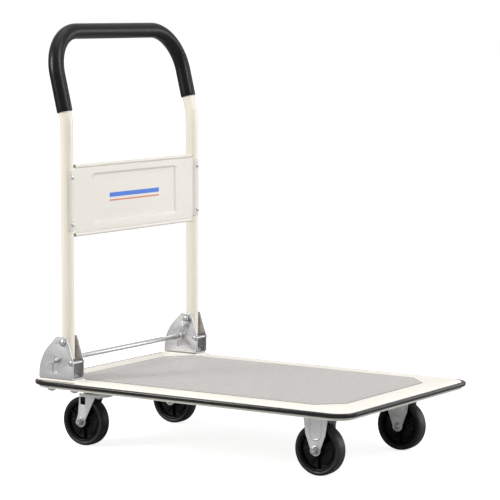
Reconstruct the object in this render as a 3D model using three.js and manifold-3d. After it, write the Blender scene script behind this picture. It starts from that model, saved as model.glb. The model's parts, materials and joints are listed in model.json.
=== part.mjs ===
// Folding platform cart: a pressed steel deck on four casters, with a fold-down tube handle.
//
// Millimetres, +Z up. +X points to the front, away from the handle, and +Y to the left, as seen
// by someone who stands behind the handle. The origin is on the floor under the deck's centre.

import * as THREE from 'three';
import { mergeVertices } from 'three/addons/utils/BufferGeometryUtils.js';
import Module from 'manifold-3d';

const wasm = await Module();
wasm.setup();

// ---------------------------------------------------------------- driving dimensions

const GAP = 0.3; // between pieces that touch
const SHEET = 2.5; // brackets and casters
const LEFT = 1;
const RIGHT = -1;
const SIDES = { left: LEFT, right: RIGHT };

// platform
const BUMPER = { halfX: 373, halfY: 244.5, corner: 42, thick: 8, low: 128.8, high: 137.2, round: 2 };
const DECK = { top: 140, skirtBottom: 123.4, sheet: 1.6 };
const BOSS = { rear: -354, front: -262, inner: 192, outer: 234.5, height: 2.5 };
const MAT = { halfX: 314, halfY: 189, chamfer: 45, thick: 1 };
const MEMBER = { low: 124.5, sheet: 2, rearX: [-346, -206], frontX: [206, 316], halfY: 225 };

// handle: a bent tube, upright from its pivots and then leaning back
const TUBE = { radius: 12.7, wall: 1.4, x: -290, y: 214.2, bottom: 183, sides: 12 };
const LEAN = { start: 641.5, radius: 120, angle: THREE.MathUtils.degToRad(13.8) };
const TOP_BAR = { z: 829.8, corner: 87 };
const GRIP = { radius: 16.1, bore: 13.4, starts: { left: 20.4, right: 2.4 }, sides: 12 };
const PANEL = { low: 429, high: 565, face: 9.5, sheet: 1.2, rollRadius: 3.8, rollProud: 1.5, rollHalfY: 200 };
const SADDLE = { low: 438, high: 559, innerRadius: 13, outerAngle: THREE.MathUtils.degToRad(41.5) };
const RECESS = { halfY: 140, low: 451, high: 546, depth: 2.5 };
const RIVET = { zs: { upper: 544.5, lower: 451 }, shank: 2.4, head: 4.5, dome: 2.6 };

// hinges: a channel bracket at each side of the handle
const BRACKET = { rear: -349.7, front: -265, outer: 232.2, width: 36, top: 229, kink: 181, webFront: -268 };
const BRACKET_NOSE = { cutBack: 15.6, topLength: 25.4, innerCorner: 6 };
const BRACKET_REAR_ARC = { x: -268, z: 150, radius: 82.5, from: 130, to: 185 };
const PIVOT = { x: -290, z: 216.7, radius: 4.5, innerEnd: 184, head: 7, headLength: 4 };
const STOP = { x: -270, z: 177, radius: 4, head: 5.5, headLength: 2.5 };
const BAR = { x: -308, z: 179.5, radius: 5, shoulder: 232.5, endRadius: 3.7, halfLength: 242 };
const BAR_PIN = { y: 237.5, radius: 2.2, length: 25, tilt: THREE.MathUtils.degToRad(22) };
const SLOT = { top: [-307.6, 182], bottom: [-311, 160.4], radius: 5.7 };
const SPRING = { y: 188, radius: 4.2 };
const BASE_BOLT = {
  xs: { rear: -333, front: -275.5 }, y: 214, radius: 4, head: 7, headHeight: 7, nut: 8.6, nutLow: 117,
};

// casters
const WHEEL = { radius: 50, halfWidth: 13.5, rim: 41, bore: 5.3, hubHalf: 15.5, segments: 24 };
const RIB = { count: 3, middle: 24, length: 26, width: 19, thick: 3.6 };
const CASTER_Y = 154;
const FRONT_X = 261;
const SWIVEL_X = -261;
const TRAIL = 32;
const PLATE = { halfX: 50, halfY: 38, low: 121.7, high: 124.2 };
const FORK = { inner: 16, endRadius: 11 };
const WINDOW = { x: [-32.7, -20.7], z: [85, 100.6] };
const CROWN = { radius: 31, low: 103, high: 111 };
const RACE = { radius: 29, low: 111.3, high: 121.4 };
const KINGPIN = { radius: 6, low: 97, high: 128, foot: 8, head: 9, clearance: 12 };
const AXLE = { radius: 5, head: 6.5, headLength: 4, nut: 8.5, nutLength: 8, end: 29 };

// ---------------------------------------------------------------- materials

const paint = (color) => new THREE.MeshStandardMaterial({ color, roughness: 0.4, metalness: 0.05 });
const zinc = () => new THREE.MeshStandardMaterial({ color: 0xb4b4b6, roughness: 0.35, metalness: 0.9 });
const bright = () => new THREE.MeshStandardMaterial({ color: 0xd5d5d7, roughness: 0.18, metalness: 1 });
const blackPlastic = () => new THREE.MeshStandardMaterial({ color: 0x151515, roughness: 0.5 });
const blackFoam = () => new THREE.MeshStandardMaterial({ color: 0x1d1d1e, roughness: 0.8 });
const greyVinyl = () => new THREE.MeshStandardMaterial({ color: 0xcfcbc8, roughness: 0.6 });
const CREAM = 0xf1ebdd;

// ---------------------------------------------------------------- solids

function solidOf(geometry) {
  const bare = geometry.clone();
  bare.deleteAttribute('normal');
  bare.deleteAttribute('uv');
  const merged = mergeVertices(bare, 1e-4);
  return new wasm.Manifold(new wasm.Mesh({
    numProp: 3,
    vertProperties: new Float32Array(merged.attributes.position.array),
    triVerts: new Uint32Array(merged.index.array),
  }));
}

function geometryOf(solid) {
  const { vertProperties, triVerts } = solid.getMesh();
  const geometry = new THREE.BufferGeometry();
  geometry.setAttribute('position', new THREE.BufferAttribute(vertProperties, 3));
  geometry.setIndex(new THREE.BufferAttribute(triVerts, 1));
  geometry.computeVertexNormals();
  return geometry;
}

const join = (first, ...rest) => rest.reduce((sum, next) => sum.add(next), first);
const cut = (first, ...tools) => tools.reduce((left, tool) => left.subtract(tool), first);

function block([x0, x1], [y0, y1], [z0, z1]) {
  const box = new THREE.BoxGeometry(x1 - x0, y1 - y0, z1 - z0);
  return solidOf(box.translate((x0 + x1) / 2, (y0 + y1) / 2, (z0 + z1) / 2));
}

// a round or polygonal rod along Y, from y0 to y1
function rodY(x, z, radius, [y0, y1], sides = 12) {
  const rod = new THREE.CylinderGeometry(radius, radius, Math.abs(y1 - y0), sides);
  return solidOf(rod.translate(x, (y0 + y1) / 2, z));
}

function rodZ(x, y, radius, [z0, z1], sides = 12) {
  const rod = new THREE.CylinderGeometry(radius, radius, z1 - z0, sides);
  return solidOf(rod.rotateX(Math.PI / 2).translate(x, y, (z0 + z1) / 2));
}

function rodX(y, z, radius, [x0, x1], sides = 12) {
  const rod = new THREE.CylinderGeometry(radius, radius, x1 - x0, sides);
  return solidOf(rod.rotateZ(Math.PI / 2).translate((x0 + x1) / 2, y, z));
}

// an outline in plan, standing from z0 to z1
function prismZ(outline, [z0, z1], curveSegments = 5) {
  const slab = new THREE.ExtrudeGeometry(outline, { depth: z1 - z0, bevelEnabled: false, curveSegments });
  return solidOf(slab.translate(0, 0, z0));
}

// an outline drawn in X and Z, thick from y0 to y1
function prismY(outline, [y0, y1], curveSegments = 5) {
  const slab = new THREE.ExtrudeGeometry(outline, { depth: y1 - y0, bevelEnabled: false, curveSegments });
  return solidOf(slab.rotateX(Math.PI / 2).translate(0, y1, 0));
}

function roundedRectangle(halfX, halfY, corner, Outline = THREE.Shape) {
  const outline = new Outline();
  const quarter = Math.PI / 2;
  const corners = [[1, 1], [-1, 1], [-1, -1], [1, -1]];
  corners.forEach(([sx, sy], i) => {
    outline.absarc(sx * (halfX - corner), sy * (halfY - corner), corner, i * quarter, (i + 1) * quarter);
  });
  outline.closePath();
  return outline;
}

// a rounded slot between two points, drawn in X and Z
function slotOutline([x0, z0], [x1, z1], radius) {
  const along = Math.atan2(z1 - z0, x1 - x0);
  const outline = new THREE.Shape();
  outline.absarc(x0, z0, radius, along + Math.PI / 2, along + Math.PI * 1.5);
  outline.absarc(x1, z1, radius, along - Math.PI / 2, along + Math.PI / 2);
  outline.closePath();
  return outline;
}

const sideSpan = (side, near, far) => (side > 0 ? [near, far] : [-far, -near]);

function part(name, solid, material) {
  const mesh = new THREE.Mesh(geometryOf(solid), material);
  mesh.name = name;
  return mesh;
}

// ---------------------------------------------------------------- platform

// the four places, in plan, where the brackets are bolted down
const basePlaces = Object.entries(SIDES).flatMap(([sideName, side]) =>
  Object.entries(BASE_BOLT.xs).map(([endName, x]) => (
    { name: `${endName}_${sideName}`, x, y: side * BASE_BOLT.y })));

const boltHoles = (zSpan) => basePlaces.map(({ x, y }) => rodZ(x, y, BASE_BOLT.radius + GAP, zSpan));

// a shallow tray, open below, with a raised boss under each bracket
function deck() {
  const halfX = BUMPER.halfX - BUMPER.thick - GAP;
  const halfY = BUMPER.halfY - BUMPER.thick - GAP;
  const corner = BUMPER.corner - BUMPER.thick;
  const { sheet, top, skirtBottom } = DECK;
  const shell = prismZ(roundedRectangle(halfX, halfY, corner), [skirtBottom, top]);
  const hollow = prismZ(
    roundedRectangle(halfX - sheet, halfY - sheet, corner - sheet), [skirtBottom - 1, top - sheet]);
  const bosses = Object.values(SIDES).map((side) =>
    block([BOSS.rear, BOSS.front], sideSpan(side, BOSS.inner, BOSS.outer), [top - 1, top + BOSS.height]));
  const holes = boltHoles([top - 5, top + 5]);
  return part('deck', cut(join(cut(shell, hollow), ...bosses), ...holes), paint(CREAM));
}

function deckMat() {
  const { halfX, halfY, chamfer, thick } = MAT;
  const outline = new THREE.Shape();
  outline.moveTo(halfX, chamfer - halfY);
  outline.lineTo(halfX, halfY - chamfer);
  outline.lineTo(halfX - chamfer, halfY);
  outline.lineTo(chamfer - halfX, halfY);
  outline.lineTo(-halfX, halfY - chamfer);
  outline.lineTo(-halfX, chamfer - halfY);
  outline.lineTo(chamfer - halfX, -halfY);
  outline.lineTo(halfX - chamfer, -halfY);
  outline.closePath();
  const low = DECK.top + GAP;
  return part('deck_mat', prismZ(outline, [low, low + thick]), greyVinyl());
}

function edgeBumper() {
  const { halfX, halfY, corner, thick, low, high, round } = BUMPER;
  const band = roundedRectangle(halfX - round, halfY - round, corner - round);
  band.holes.push(roundedRectangle(halfX - thick + round, halfY - thick + round,
    corner - thick + round, THREE.Path));
  const ring = new THREE.ExtrudeGeometry(band, {
    depth: high - low - 2 * round, curveSegments: 5, bevelSize: round, bevelThickness: round, bevelSegments: 1,
  });
  return part('edge_bumper', solidOf(ring.translate(0, 0, low + round)), blackPlastic());
}

// a channel across the underside, open at the top, that the casters bolt to
function crossMember(name, [x0, x1], openings) {
  const high = DECK.top - DECK.sheet - GAP;
  const { low, sheet, halfY } = MEMBER;
  const outer = block([x0, x1], [-halfY, halfY], [low, high]);
  const inside = block([x0 + sheet, x1 - sheet], [-halfY - 1, halfY + 1], [low + sheet, high + 1]);
  return part(name, cut(outer, inside, ...openings), paint(CREAM));
}

function platform() {
  const webSpan = [MEMBER.low - 1, MEMBER.low + MEMBER.sheet + 1];
  const kingpinHoles = Object.values(SIDES).map((side) =>
    rodZ(SWIVEL_X, side * CASTER_Y, KINGPIN.clearance, webSpan));
  return [
    deck(),
    deckMat(),
    edgeBumper(),
    crossMember('rear_cross_member', MEMBER.rearX, [...boltHoles(webSpan), ...kingpinHoles]),
    crossMember('front_cross_member', MEMBER.frontX, []),
  ];
}

// ---------------------------------------------------------------- hinges

const BRACKET_LOW = DECK.top + BOSS.height + GAP;

// one side plate, with its lower front corner rounded by cornerRadius
function plateOutline(cornerRadius) {
  const arc = BRACKET_REAR_ARC;
  const topFront = BRACKET.front - BRACKET_NOSE.cutBack;
  const outline = new THREE.Shape();
  outline.moveTo(BRACKET.rear, BRACKET_LOW);
  if (cornerRadius > 0) {
    outline.absarc(BRACKET.front - cornerRadius, BRACKET_LOW + cornerRadius, cornerRadius, -Math.PI / 2, 0);
  } else {
    outline.lineTo(BRACKET.front, BRACKET_LOW);
  }
  outline.lineTo(BRACKET.front, BRACKET.kink);
  outline.lineTo(topFront, BRACKET.top);
  outline.lineTo(topFront - BRACKET_NOSE.topLength, BRACKET.top);
  outline.absarc(arc.x, arc.z, arc.radius, ...[arc.from, arc.to].map(THREE.MathUtils.degToRad));
  outline.closePath();
  return outline;
}

function bracket(sideName, side) {
  const { outer, width, rear, webFront } = BRACKET;
  const inner = outer - width;
  const through = sideSpan(side, inner - 1, outer + 1);
  const body = join(
    prismY(plateOutline(0), sideSpan(side, outer - SHEET, outer)),
    prismY(plateOutline(BRACKET_NOSE.innerCorner), sideSpan(side, inner, inner + SHEET)),
    block([rear + 1, webFront], sideSpan(side, inner + 1, outer - 1), [BRACKET_LOW, BRACKET_LOW + SHEET]));
  return part(`hinge_bracket_${sideName}`, cut(body,
    rodY(PIVOT.x, PIVOT.z, PIVOT.radius + GAP, through),
    rodY(STOP.x, STOP.z, STOP.radius + GAP, through),
    prismY(slotOutline(SLOT.top, SLOT.bottom, SLOT.radius), through),
    ...boltHoles([BRACKET_LOW - 1, BRACKET_LOW + 2 * SHEET])), zinc());
}

// runs through both plates and the tube, and carries the spring at its inner end
function pivotBolt(sideName, side) {
  const { x, z, radius, innerEnd, head, headLength } = PIVOT;
  const seat = BRACKET.outer + GAP;
  return part(`pivot_bolt_${sideName}`, join(
    rodY(x, z, radius, sideSpan(side, innerEnd, seat + 1)),
    rodY(x, z, head, sideSpan(side, seat, seat + headLength))), bright());
}

function stopPin(sideName, side) {
  const { x, z, radius, head, headLength } = STOP;
  const inner = BRACKET.outer - BRACKET.width - GAP;
  const outer = BRACKET.outer + GAP;
  return part(`stop_pin_${sideName}`, join(
    rodY(x, z, radius, sideSpan(side, inner - 1, outer + 1)),
    rodY(x, z, head, sideSpan(side, inner - headLength, inner)),
    rodY(x, z, head, sideSpan(side, outer, outer + headLength))), bright());
}

function baseFasteners({ name, x, y }) {
  const { radius, head, headHeight, nut, nutLow } = BASE_BOLT;
  const seat = BRACKET_LOW + SHEET + GAP;
  const nutHigh = MEMBER.low - GAP;
  const bolt = join(
    rodZ(x, y, radius, [nutLow - 2, seat + 1]),
    rodZ(x, y, head, [seat, seat + headHeight], 6));
  const hexNut = cut(
    rodZ(x, y, nut, [nutLow, nutHigh], 6),
    rodZ(x, y, radius + GAP, [nutLow - 1, nutHigh + 1]));
  return [part(`base_bolt_${name}`, bolt, bright()), part(`base_nut_${name}`, hexNut, zinc())];
}

// a rod across the release bar near one end, with its front end tilted up
function barPinRod(side, radius) {
  const { y, length, tilt } = BAR_PIN;
  const rod = new THREE.CylinderGeometry(radius, radius, length, 12);
  return solidOf(rod.rotateZ(Math.PI / 2).rotateY(-tilt).translate(BAR.x, side * y, BAR.z));
}

// one rod in both brackets' slots, turned down at its ends and drilled for the cross pins
function releaseBar() {
  const { x, z, radius, shoulder, endRadius, halfLength } = BAR;
  const rod = join(
    rodY(x, z, radius, [-shoulder, shoulder]),
    rodY(x, z, endRadius, [-halfLength, halfLength]));
  const holes = Object.values(SIDES).map((side) => barPinRod(side, BAR_PIN.radius + GAP));
  return part('release_bar', cut(rod, ...holes), bright());
}

const crossPin = (sideName, side) => part(`bar_pin_${sideName}`, barPinRod(side, BAR_PIN.radius), bright());

// the coil stands in a plain envelope between the pivot bolt's end and the release bar
function returnSpring(sideName, side) {
  const reach = Math.hypot(PIVOT.x - BAR.x, PIVOT.z - BAR.z);
  const from = PIVOT.radius + 0.6;
  const length = reach - from - BAR.radius - 0.6;
  const coil = new THREE.CylinderGeometry(SPRING.radius, SPRING.radius, length, 14);
  const mesh = part(`return_spring_${sideName}`, solidOf(coil), zinc());
  const share = (from + length / 2) / reach;
  mesh.position.set(
    THREE.MathUtils.lerp(PIVOT.x, BAR.x, share), side * SPRING.y,
    THREE.MathUtils.lerp(PIVOT.z, BAR.z, share));
  mesh.rotation.y = Math.atan2(PIVOT.x - BAR.x, PIVOT.z - BAR.z);
  mesh.geometry.rotateX(Math.PI / 2);
  return mesh;
}

function hinges() {
  const perSide = Object.entries(SIDES).flatMap(([name, side]) => [
    bracket(name, side), pivotBolt(name, side), stopPin(name, side), crossPin(name, side),
    returnSpring(name, side),
  ]);
  return [...perSide, ...basePlaces.flatMap(baseFasteners), releaseBar()];
}

// ---------------------------------------------------------------- handle

// a curve that steps through exact points and tangents, one for each station
class StationPath extends THREE.Curve {
  constructor(stations) {
    super();
    this.stations = stations;
  }

  stationAt(u) {
    return this.stations[Math.round(u * (this.stations.length - 1))];
  }

  getPointAt(u) {
    return this.stationAt(u).point.clone();
  }

  getTangentAt(u) {
    return this.stationAt(u).tangent.clone();
  }
}

function tubeAlong(stations, radius, bore, sides) {
  const ring = new THREE.Shape();
  ring.absarc(0, 0, radius, 0, 2 * Math.PI);
  const inside = new THREE.Path();
  inside.absarc(0, 0, bore, 0, 2 * Math.PI);
  ring.holes.push(inside);
  return solidOf(new THREE.ExtrudeGeometry(ring, {
    steps: stations.length - 1, extrudePath: new StationPath(stations), curveSegments: sides / 2,
  }));
}

const UP = new THREE.Vector3(0, 0, 1);
const ACROSS = new THREE.Vector3(0, 1, 0);
const BACK = new THREE.Vector3(-1, 0, 0);

// stations on an arc that leaves point along tangent and turns towards the direction `inward`
function arcStations(point, tangent, inward, radius, angle, steps) {
  return Array.from({ length: steps + 1 }, (_, i) => {
    const turn = (angle * i) / steps;
    return {
      point: point.clone()
        .addScaledVector(tangent, radius * Math.sin(turn))
        .addScaledVector(inward, radius * (1 - Math.cos(turn))),
      tangent: tangent.clone().multiplyScalar(Math.cos(turn)).addScaledVector(inward, Math.sin(turn)),
    };
  });
}

// the right leg's stations up to the top bar: from its foot, or from gripStart past the lean's end
function legStations(gripStart) {
  const bendStart = new THREE.Vector3(TUBE.x, -TUBE.y, LEAN.start);
  const bend = arcStations(bendStart, UP, BACK, LEAN.radius, LEAN.angle, 3);
  const leanEnd = bend[bend.length - 1];
  const rise = (TOP_BAR.z - leanEnd.point.z) / leanEnd.tangent.z;
  const straight = rise - TOP_BAR.corner;
  const corner = arcStations(leanEnd.point.clone().addScaledVector(leanEnd.tangent, straight),
    leanEnd.tangent, ACROSS, TOP_BAR.corner, Math.PI / 2, 7);
  const foot = { point: new THREE.Vector3(TUBE.x, -TUBE.y, TUBE.bottom), tangent: UP.clone() };
  if (gripStart === undefined) return [foot, ...bend, ...corner];
  const point = leanEnd.point.clone().addScaledVector(leanEnd.tangent, gripStart);
  return [{ point, tangent: leanEnd.tangent }, ...corner];
}

// both legs: the left one is drawn as a right one, mirrored and walked back down
function archStations(gripStarts = {}) {
  const right = legStations(gripStarts.right);
  const left = legStations(gripStarts.left).map(({ point, tangent }) => ({
    point: new THREE.Vector3(point.x, -point.y, point.z),
    tangent: new THREE.Vector3(-tangent.x, tangent.y, -tangent.z),
  })).reverse();
  return [...right, ...left];
}

const rivetPlaces = Object.entries(SIDES).flatMap(([sideName, side]) =>
  Object.entries(RIVET.zs).map(([levelName, z]) => (
    { name: `${levelName}_${sideName}`, y: side * TUBE.y, z })));

const rivetHoles = () => rivetPlaces.map(({ y, z }) =>
  rodX(y, z, RIVET.shank + GAP, [TUBE.x + 5, TUBE.x + 20]));

function handleTube() {
  const pivotHoles = Object.values(SIDES).map((side) =>
    rodY(PIVOT.x, PIVOT.z, PIVOT.radius + GAP, sideSpan(side, TUBE.y - 20, TUBE.y + 20)));
  const tube = tubeAlong(archStations(), TUBE.radius, TUBE.radius - TUBE.wall, TUBE.sides);
  return part('handle_tube', cut(tube, ...pivotHoles, ...rivetHoles()), paint(CREAM));
}

// the sleeve reaches further down the right leg than the left one
function grip() {
  const sleeve = tubeAlong(archStations(GRIP.starts), GRIP.radius, GRIP.bore, GRIP.sides);
  return part('grip_sleeve', sleeve, blackFoam());
}

// the panel's plan: a flat sheet between two saddles that wrap the fronts of the tubes
function panelPlan() {
  const { innerRadius, outerAngle } = SADDLE;
  const outerRadius = innerRadius + PANEL.sheet;
  const frontAngle = Math.acos(PANEL.face / outerRadius);
  const rearAngle = Math.acos((PANEL.face - PANEL.sheet) / innerRadius);
  const outline = new THREE.Shape();
  outline.absarc(TUBE.x, -TUBE.y, outerRadius, -outerAngle, frontAngle);
  outline.absarc(TUBE.x, TUBE.y, outerRadius, -frontAngle, outerAngle);
  outline.absarc(TUBE.x, TUBE.y, innerRadius, outerAngle, -rearAngle, true);
  outline.absarc(TUBE.x, -TUBE.y, innerRadius, rearAngle, -outerAngle, true);
  outline.closePath();
  return outline;
}

function signPanel() {
  const { low, high, face, sheet, rollRadius, rollProud, rollHalfY } = PANEL;
  const front = TUBE.x + face;
  const rollX = front + rollProud - rollRadius;
  const across = [-rollHalfY, rollHalfY];
  const rolls = [low, high].map((z) => rodY(rollX, z, rollRadius, across, 10));
  const boreSpan = [-rollHalfY - 1, rollHalfY + 1];
  const rollBores = [low, high].map((z) => rodY(rollX, z, rollRadius - sheet, boreSpan, 10));
  const sheetBody = join(
    prismZ(panelPlan(), [SADDLE.low, SADDLE.high], 6),
    block([front - sheet, front], across, [low, high]),
    block([front - sheet - RECESS.depth, front], [-RECESS.halfY - sheet, RECESS.halfY + sheet],
      [RECESS.low - sheet, RECESS.high + sheet]));
  const pocket = block(
    [front - RECESS.depth, front + 1], [-RECESS.halfY, RECESS.halfY], [RECESS.low, RECESS.high]);
  return part('sign_panel', cut(join(sheetBody, ...rolls), pocket, ...rollBores, ...rivetHoles()),
    paint(0xe7e4da));
}

function rivet({ name, y, z }) {
  const seat = TUBE.x + SADDLE.innerRadius + PANEL.sheet + GAP;
  const dome = [[0, 0], [RIVET.head, 0], [RIVET.head * 0.8, RIVET.dome * 0.7], [0, RIVET.dome]];
  const head = new THREE.LatheGeometry(dome.map(([r, h]) => new THREE.Vector2(r, h)), 12);
  const domeSolid = solidOf(head.rotateZ(-Math.PI / 2).translate(seat, y, z));
  const shank = rodX(y, z, RIVET.shank, [TUBE.x + TUBE.radius - 4, seat + 0.5]);
  return part(`panel_rivet_${name}`, join(domeSolid, shank), bright());
}

const handle = () => [handleTube(), grip(), signPanel(), ...rivetPlaces.map(rivet)];

// ---------------------------------------------------------------- casters

function lathe(profile) {
  const points = [...profile, profile[0]].map(([r, y]) => new THREE.Vector2(r, y));
  return solidOf(new THREE.LatheGeometry(points, WHEEL.segments));
}

// wheels are drawn about their own axle, which lies along Y
function tyre(name) {
  const { radius, halfWidth, rim } = WHEEL;
  const bore = rim + GAP;
  return part(name, lathe([
    [bore, -halfWidth + 1], [radius - 3, -halfWidth], [radius - 0.8, 1.5 - halfWidth], [radius, 4 - halfWidth],
    [radius, halfWidth - 4], [radius - 0.8, halfWidth - 1.5], [radius - 3, halfWidth], [bore, halfWidth - 1],
  ]), blackPlastic());
}

function wheelCore(name) {
  const { rim, bore, hubHalf } = WHEEL;
  const disc = lathe([
    [bore, -hubHalf], [11.5, -hubHalf], [14, -5], [34, -3.5], [37, -11.5], [rim, -11.5],
    [rim, 11.5], [37, 11.5], [34, 3.5], [14, 5], [11.5, hubHalf], [bore, hubHalf],
  ]);
  const ribSolids = Array.from({ length: RIB.count }, (_, i) => {
    const rib = new THREE.BoxGeometry(RIB.length, RIB.width, RIB.thick).translate(RIB.middle, 0, 0);
    return solidOf(rib.rotateY(Math.PI / 2 + (i * 2 * Math.PI) / RIB.count));
  });
  return part(name, join(disc, ...ribSolids), blackPlastic());
}

// the bolt's round head faces the middle of the cart, and its nut faces out
function axle(prefix, sideName, side) {
  const { radius, head, headLength, nut, nutLength, end } = AXLE;
  const seat = FORK.inner + SHEET + GAP;
  const bolt = join(
    rodY(0, 0, radius, sideSpan(side, -seat - 1, end)),
    rodY(0, 0, head, sideSpan(side, -seat - headLength, -seat)));
  const hexNut = cut(
    rodY(0, 0, nut, sideSpan(side, seat, seat + nutLength), 6),
    rodY(0, 0, radius + GAP, [-end - 5, end + 5]));
  return [
    part(`${prefix}_axle_bolt_${sideName}`, bolt, bright()),
    part(`${prefix}_axle_nut_${sideName}`, hexNut, bright()),
  ];
}

// a wheel with its axle, all about the axle's centre
function wheelSet(prefix, sideName, side, x, y) {
  const set = new THREE.Group();
  set.position.set(x, y, WHEEL.radius);
  set.add(tyre(`${prefix}_tyre_${sideName}`), wheelCore(`${prefix}_wheel_core_${sideName}`));
  set.add(...axle(prefix, sideName, side));
  return set;
}

// two legs of one outline, either side of the wheel, each drilled for the axle
function forkLegs(outline, axleX) {
  const spans = Object.values(SIDES).map((side) => sideSpan(side, FORK.inner, FORK.inner + SHEET));
  const axleHole = rodY(axleX, WHEEL.radius, AXLE.radius + GAP, [-30, 30]);
  return spans.map((span) => cut(prismY(outline, span), axleHole));
}

// a leg outline drawn down to a round end about the axle
function legOutline(rear, front, axleX) {
  const outline = new THREE.Shape();
  outline.moveTo(...rear[0]);
  rear.slice(1).forEach((point) => outline.lineTo(...point));
  outline.absarc(axleX, WHEEL.radius, FORK.endRadius, Math.PI * 0.92, Math.PI * 2.1);
  front.forEach((point) => outline.lineTo(...point));
  outline.closePath();
  return outline;
}

const mountingPlate = () => block(
  [-PLATE.halfX, PLATE.halfX], [-PLATE.halfY, PLATE.halfY], [PLATE.low, PLATE.high]);

function rigidCaster(sideName, side) {
  const caster = new THREE.Group();
  const outline = legOutline(
    [[-28, PLATE.low + 1], [-26, 110], [-22, 80]], [[22, 80], [26, 110], [28, PLATE.low + 1]], 0);
  const fork = part(`front_fork_${sideName}`, join(mountingPlate(), ...forkLegs(outline, 0)), zinc());
  fork.position.set(FRONT_X, side * CASTER_Y, 0);
  caster.add(fork, wheelSet('front', sideName, side, FRONT_X, side * CASTER_Y));
  return caster;
}

function swivelFork(sideName) {
  const crown = rodZ(0, 0, CROWN.radius, [CROWN.low, CROWN.high], 28);
  const outline = legOutline([[-35.5, CROWN.high], [-38.8, 65]], [[-1.4, 95], [5, CROWN.high]], -TRAIL);
  const window = block(WINDOW.x, [-30, 30], WINDOW.z);
  const legs = forkLegs(outline, -TRAIL).map((leg) => cut(leg, window));
  const pinHole = rodZ(0, 0, KINGPIN.radius + GAP, [CROWN.low - 5, CROWN.high + 5]);
  return part(`swivel_fork_${sideName}`, cut(join(crown, ...legs), pinHole), zinc());
}

function swivelCaster(sideName, side) {
  const { radius, low, high, foot, head } = KINGPIN;
  const pinHole = rodZ(0, 0, radius + GAP, [CROWN.high, PLATE.high + 1]);
  const pin = join(
    rodZ(0, 0, radius, [low + 1, high - 1]),
    rodZ(0, 0, foot, [low, CROWN.low - GAP]),
    rodZ(0, 0, head, [PLATE.high + GAP, high]));
  const race = cut(rodZ(0, 0, RACE.radius, [RACE.low, RACE.high], 28), pinHole);
  const upper = new THREE.Group();
  upper.position.set(SWIVEL_X, side * CASTER_Y, 0);
  upper.add(
    part(`caster_plate_${sideName}`, cut(mountingPlate(), pinHole), zinc()),
    part(`ball_race_${sideName}`, race, zinc()),
    part(`kingpin_${sideName}`, pin, zinc()),
    swivelFork(sideName));
  const caster = new THREE.Group();
  caster.add(upper, wheelSet('rear', sideName, side, SWIVEL_X - TRAIL, side * CASTER_Y));
  return caster;
}

const casters = () => Object.entries(SIDES).flatMap(([name, side]) =>
  [rigidCaster(name, side), swivelCaster(name, side)]);

// ---------------------------------------------------------------- the cart

const cart = new THREE.Group();
cart.add(...platform(), ...hinges(), ...handle(), ...casters());

export default cart;
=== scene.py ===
"""The look of the folding platform cart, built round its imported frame. Metres, +Z up, +X to the front."""
import json
import math

import bmesh
import bpy
from mathutils import Matrix, Vector


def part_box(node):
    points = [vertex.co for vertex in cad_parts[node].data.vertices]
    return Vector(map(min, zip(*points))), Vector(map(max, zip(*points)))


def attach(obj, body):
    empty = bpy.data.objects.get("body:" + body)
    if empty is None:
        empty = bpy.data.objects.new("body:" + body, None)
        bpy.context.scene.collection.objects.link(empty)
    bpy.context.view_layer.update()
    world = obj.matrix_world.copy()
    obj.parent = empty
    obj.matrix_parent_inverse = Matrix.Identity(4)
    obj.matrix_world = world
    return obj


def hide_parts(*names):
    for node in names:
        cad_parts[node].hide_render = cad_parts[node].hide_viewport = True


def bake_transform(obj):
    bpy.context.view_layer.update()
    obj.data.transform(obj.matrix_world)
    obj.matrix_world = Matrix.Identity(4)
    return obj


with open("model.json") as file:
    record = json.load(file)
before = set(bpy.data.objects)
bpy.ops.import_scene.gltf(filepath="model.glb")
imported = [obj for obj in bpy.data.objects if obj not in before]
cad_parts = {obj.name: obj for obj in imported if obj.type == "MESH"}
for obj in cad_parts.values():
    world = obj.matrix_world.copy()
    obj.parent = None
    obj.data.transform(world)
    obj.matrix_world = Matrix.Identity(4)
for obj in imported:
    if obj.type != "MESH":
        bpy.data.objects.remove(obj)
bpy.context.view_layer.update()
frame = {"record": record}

SCENE = bpy.context.scene
SLOTS = {row["node"]: row["material_slot"] for row in frame["record"]["subparts"]}
BODIES = {node: body for body, nodes in frame["record"]["behaviour"]["bodies"].items() for node in nodes}
SIDES = {"left": 1, "right": -1}
CORNERS = ((1, 1), (-1, 1), (-1, -1), (1, -1))
X = Vector((1, 0, 0))
Y = Vector((0, 1, 0))
Z = Vector((0, 0, 1))

# ------------------------------------------------------------------ camera, floor and light

CAMERA_POSITION = Vector((2.521, -3.804, 0.874))
CAMERA_DIRECTION = Vector((-0.5494, 0.8291, -0.1037))
CAMERA_LENS = 166.5
FLOOR_GLOW = 0.82
FLOOR_REACH = 30
SURROUND = {"side": (0.30, 0.30, 0.31, 1), "overhead": (1.0, 1.0, 1.0, 1), "turns_white": 0.45,
            "strength": 0.7}
LIGHTS = (
    ("key", (-2.2, -2.8, 1.9), (-0.1, 0, 0.35), (0.8, 1.5), 88, (1.0, 0.985, 0.955)),
    ("front_fill", (2.9, 0.3, 2.6), (0, 0, 0.4), (1.2, 2.4), 70, (0.97, 0.985, 1.0)),
    ("far_card", (2.3, 3.1, 0.9), (0, 0, 0.25), (2.2, 1.5), 34, (0.97, 0.985, 1.0)),
    ("top", (-0.2, 0.0, 3.2), (0, 0, 0.2), (2.4, 2.4), 22, (1, 1, 1)))


def place_camera():
    data = bpy.data.cameras.new("camera")
    data.lens = CAMERA_LENS
    data.sensor_width = 36
    data.clip_end = 100
    camera = bpy.data.objects.new("camera", data)
    camera.location = CAMERA_POSITION
    camera.rotation_euler = CAMERA_DIRECTION.to_track_quat("-Z", "Y").to_euler()
    SCENE.collection.objects.link(camera)
    SCENE.camera = camera


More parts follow.
